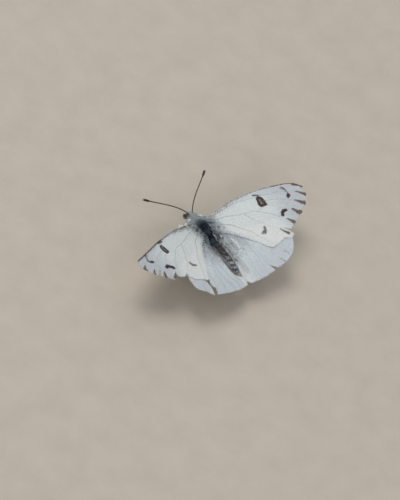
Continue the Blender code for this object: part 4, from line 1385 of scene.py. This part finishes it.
def add_eyes():
    """Compound eyes: every corner of a fine ball is a facet's dome, every face's middle a pit."""
    for side, word in SIDES:
        bm = bmesh.new()
        bmesh.ops.create_icosphere(bm, subdivisions=5, radius=1)
        bm.verts.ensure_lookup_table()
        domes = np.array([v.co for v in bm.verts])
        faces = np.array([[v.index for v in face.verts] for face in bm.faces])
        bm.free()
        pits = unit(domes[faces].mean(axis=1)) * 0.972
        ball = np.vstack([domes, pits])
        middle = len(domes) + np.arange(len(faces))
        ring = np.concatenate([np.stack([faces[:, k], faces[:, (k + 1) % 3], middle], -1)
                               for k in range(3)])
        points = body_points(np.array(EYE_CENTRE) * (side, 1, 1) + ball * np.array(EYE_RADII))
        mottle = smoothstep(0.5 + 0.6 * cloud(ball, 0.45, 17))
        tint = toward(EYE_DARK, EYE_PINK, 0.55 * mottle)
        tint = toward(tint, EYE_OLIVE, 0.5 * smoothstep((-0.1 - ball[:, 2]) / 0.5))
        # Painted shade: the sunken pits between the facets are darker than the domes.
        tint[len(domes):] *= 0.45
        shape = Shape()
        shape.add(points, [ring[:, ::-1]], tint)
        add_piece("compound_eye_" + word, shape, EYE, replaced=["eye_" + word])


def add_antennae():
    """Thread-like shafts of ringed segments, ending in a flattened dark club."""
    segments = 34
    for side, word in SIDES:
        line = bezier(ANTENNA, segments * 5 + 1) * (side, 1, 1)
        share = np.linspace(0, 1, len(line))
        ring = (share * segments) % 1
        club = smoothstep((share - 0.80) / 0.1)
        swell = np.sqrt(np.clip(1 - ((share - 0.93) / 0.085)**2, 0.06, 1))
        radii = 0.112 + 0.012 * np.sin(pi * ring) + club * (0.16 * swell - 0.02)
        radii[:4] = [0.15, 0.17, 0.16, 0.11]
        radii[-1] = 0.05
        tint = toward(ANTENNA_BROWN, ANTENNA_PALE, (ring < 0.22) * 0.5 * (share < 0.82))
        tint = toward(tint, CLUB_BLACK, smoothstep((share - 0.78) / 0.08))
        tint = toward(tint, CLUB_TIP, smoothstep((share - 0.965) / 0.02))
        shape = Shape()
        add_tube(shape, body_points(line), radii, 12, tint, 0.85)
        add_piece("antenna_shaft_" + word, shape, ANTENNA_FINISH,
                  replaced=["antenna_" + word])


def add_proboscis():
    """The sucking tube, wound up like a watch spring under the face."""
    turns = 3.2
    turn = np.linspace(0, turns * 2 * pi, 150)
    radius = np.linspace(PROBOSCIS_RADIUS - 0.06, 0.07, len(turn))
    spiral = np.stack([0 * turn, -radius * np.cos(turn - 0.9), radius * np.sin(turn - 0.9)], -1)
    places = np.vstack([(0, 3.45, -0.62), (0, 3.42, -0.8), PROBOSCIS_CENTRE + spiral])
    radii = np.concatenate([[0.11, 0.1], np.linspace(0.062, 0.03, len(turn))])
    line = body_points(smooth_line(places, 2))
    shape = Shape()
    add_tube(shape, line, spread(radii, len(line)), 8, PROBOSCIS_BROWN, 1.7)
    add_piece("coiled_proboscis", shape, ANTENNA_FINISH, replaced=["proboscis"])


# ------------------------------------------------------------------ legs

# Where the foot's five joints meet, as shares of its length
TARSUS_SHARES = [0, 0.4, 0.6, 0.75, 0.87, 1.0]


def add_leg(limb, claws, coat, points, seed):
    """Coxa, femur, tibia with two spurs, five-jointed foot with claws, and the scales on them."""
    random = np.random.default_rng(seed)
    hip, trochanter, knee, ankle, heel, foot, tip = (np.array(p, float) for p in points)
    thigh = (trochanter + knee) / 2 + (0, 0, 0.08)
    shin = (knee + ankle) / 2 + (0, 0, 0.06)
    bones = [  # line, radii along it, length of its scales
        (smooth_line([hip, (hip + trochanter) / 2, trochanter], 4), [0.34, 0.3, 0.22], 0.32),
        (smooth_line([trochanter, thigh, knee], 6), [0.13, 0.2, 0.23, 0.22, 0.17, 0.12], 0.34),
        (smooth_line([knee, shin, ankle], 6), [0.11, 0.13, 0.13, 0.12, 0.12], 0.22)]
    sole = smooth_line([ankle, heel, foot, tip], 10)
    reach = np.concatenate([[0], np.cumsum(np.linalg.norm(np.diff(sole, axis=0), axis=1))])
    reach /= reach[-1]
    for start, end in zip(TARSUS_SHARES, TARSUS_SHARES[1:]):
        where = np.linspace(start, end, 7)
        joint = np.stack([np.interp(where, reach, sole[:, k]) for k in range(3)], -1)
        bones.append((joint, [0.055, 0.07, 0.078, 0.09, 0.07], 0.13))
    for index, (line, radii, length) in enumerate(bones):
        tone = LEG_BUFF * (0.55 if index == 0 else 0.8 if index < 3 else 0.62)
        near_knee = smoothstep((0.9 - np.linalg.norm(line - knee, axis=1)) / 0.4)
        tone = toward(tone, SCALE_WHITE, near_knee)
        radii = spread(radii, len(line))
        line = body_points(line)
        add_tube(limb, line, radii, 12, tone)
        add_leg_scales(coat, line, radii, length, index, random)
    add_claws(claws, knee, ankle, foot, tip)


def add_claws(claws, knee, ankle, foot, tip):
    """The shin's two spurs, and the foot's two hooked claws with the pad between them."""
    axis = unit(ankle - knee)
    for turn in (-1, 1):
        aside = unit(np.cross(axis, (0, 0, 1))) * turn * 0.16
        spur = [ankle - axis * 0.1, ankle + axis * 0.22 + aside, ankle + axis * 0.5 + aside * 1.3]
        spur = body_points(smooth_line(spur, 4))
        add_tube(claws, spur, np.linspace(0.045, 0.01, len(spur)), 6, LEG_BUFF * 0.5)
    ahead = unit((tip - foot) * (1, 1, 0))
    beside = np.array([ahead[1], -ahead[0], 0])
    for turn in (-1, 1):
        hook = [tip, tip + ahead * 0.12 + beside * turn * 0.07 + (0, 0, 0.03),
                tip + ahead * 0.22 + beside * turn * 0.11,
                tip + ahead * 0.25 + beside * turn * 0.12 - (0, 0, 0.07)]
        hook = body_points(smooth_line(hook, 4))
        add_tube(claws, hook, np.linspace(0.032, 0.008, len(hook)), 6, CLAW_DARK)
    pad = body_points([tip, tip + ahead * 0.08, tip + ahead * 0.13])
    add_tube(claws, pad, [0.05, 0.055, 0.02], 8, LEG_BUFF * 0.9)


def add_leg_scales(coat, line, radii, length, index, random):
    """Short scales round a joint of a leg, pointing to its foot; shaggy under the thigh."""
    count = int(np.linalg.norm(line[-1] - line[0]) * (190 if index < 3 else 90))
    where = random.uniform(0.02, 0.98, count)
    stops = np.linspace(0, 1, len(line))
    centre = np.stack([np.interp(where, stops, line[:, k]) for k in range(3)], -1)
    axis = np.broadcast_to(unit(line[-1] - line[0]), centre.shape)
    across = unit(np.cross(axis, (0.3, 0.2, 0.93)))
    turn = random.uniform(0, 2 * pi, count)[:, None]
    normals = across * np.cos(turn) + np.cross(axis, across) * np.sin(turn)
    roots = centre + normals * np.interp(where, stops, radii)[:, None] * 0.95
    shaggy = (normals[:, 2] < -0.2) & (index == 1)
    knee = (where > 0.62) * (index == 1) + (where < 0.25) * (index == 2)
    lengths = length * random.uniform(0.7, 1.2, count) * np.where(shaggy, 1.9, 1.0)
    share = np.where(knee > 0, 1.0, 0.8 if index < 3 else 0.5)
    pale = (random.uniform(size=count) < share)[:, None]
    # Painted light: the knee's scales are pushed brighter than white to make up for the shade the hairs
    # cast on each other.
    shade = np.where(pale, toward(SCALE_WHITE * 0.95, WHITE_CREAM * 1.6, knee), LEG_BUFF * 0.7)
    shade = shade * random.uniform(0.8, 1.12, (count, 1))
    unwrap = np.stack([(turn[:, 0] / (2 * pi) + index) / 9, where * 0.98 + 0.01], -1)
    widths = (0.05 if index < 3 else 0.035) + 0.05 * knee
    lifts = np.where(shaggy, 0.6, 0.28 - 0.12 * knee)
    ways = axis + random.normal(0, 0.12, (count, 3))
    add_hairs(coat, roots, ways, normals, lengths, widths, lifts, shade, unwrap)


def add_legs():
    """Six legs, each as three pieces: the limb, its claws and its scales."""
    for seed, (name, points) in enumerate(LEGS.items()):
        limb, claws, coat = Shape(), Shape(), Shape()
        add_leg(limb, claws, coat, points, 300 + seed)
        add_piece("limb_" + name, limb, SKIN, STANCE, replaced=["leg_" + name])
        add_piece("claws_" + name, claws, CLAW, STANCE)
        add_piece("leg_scales_" + name, coat, HAIR, STANCE)


# ------------------------------------------------------------------ the whole animal

add_camera()
add_studio()
add_floor()
MEMBRANE = tinted_material("wing_membrane", 0.6, 0.3, 0.5, 0.01)
SCALES = tinted_material("wing_scales", 0.7, 0.25, 0.12, 0.006, 0.9)
SKIN = tinted_material("skin", 0.5, 0.5, 0.15, 0.015)
HAIR = tinted_material("hair", 0.6, 0.24, 0.2, 0.004)
EYE = tinted_material("compound_eye", 0.28, 0.6, 0.2, 0.004)
ANTENNA_FINISH = tinted_material("antenna", 0.45, 0.5, 0.08, 0.008)
CLAW = tinted_material("claw", 0.35, 0.5, 0.1, 0.004)
add_wings()
add_body()
add_wing_hair()
add_eyes()
add_antennae()
add_proboscis()
add_legs()
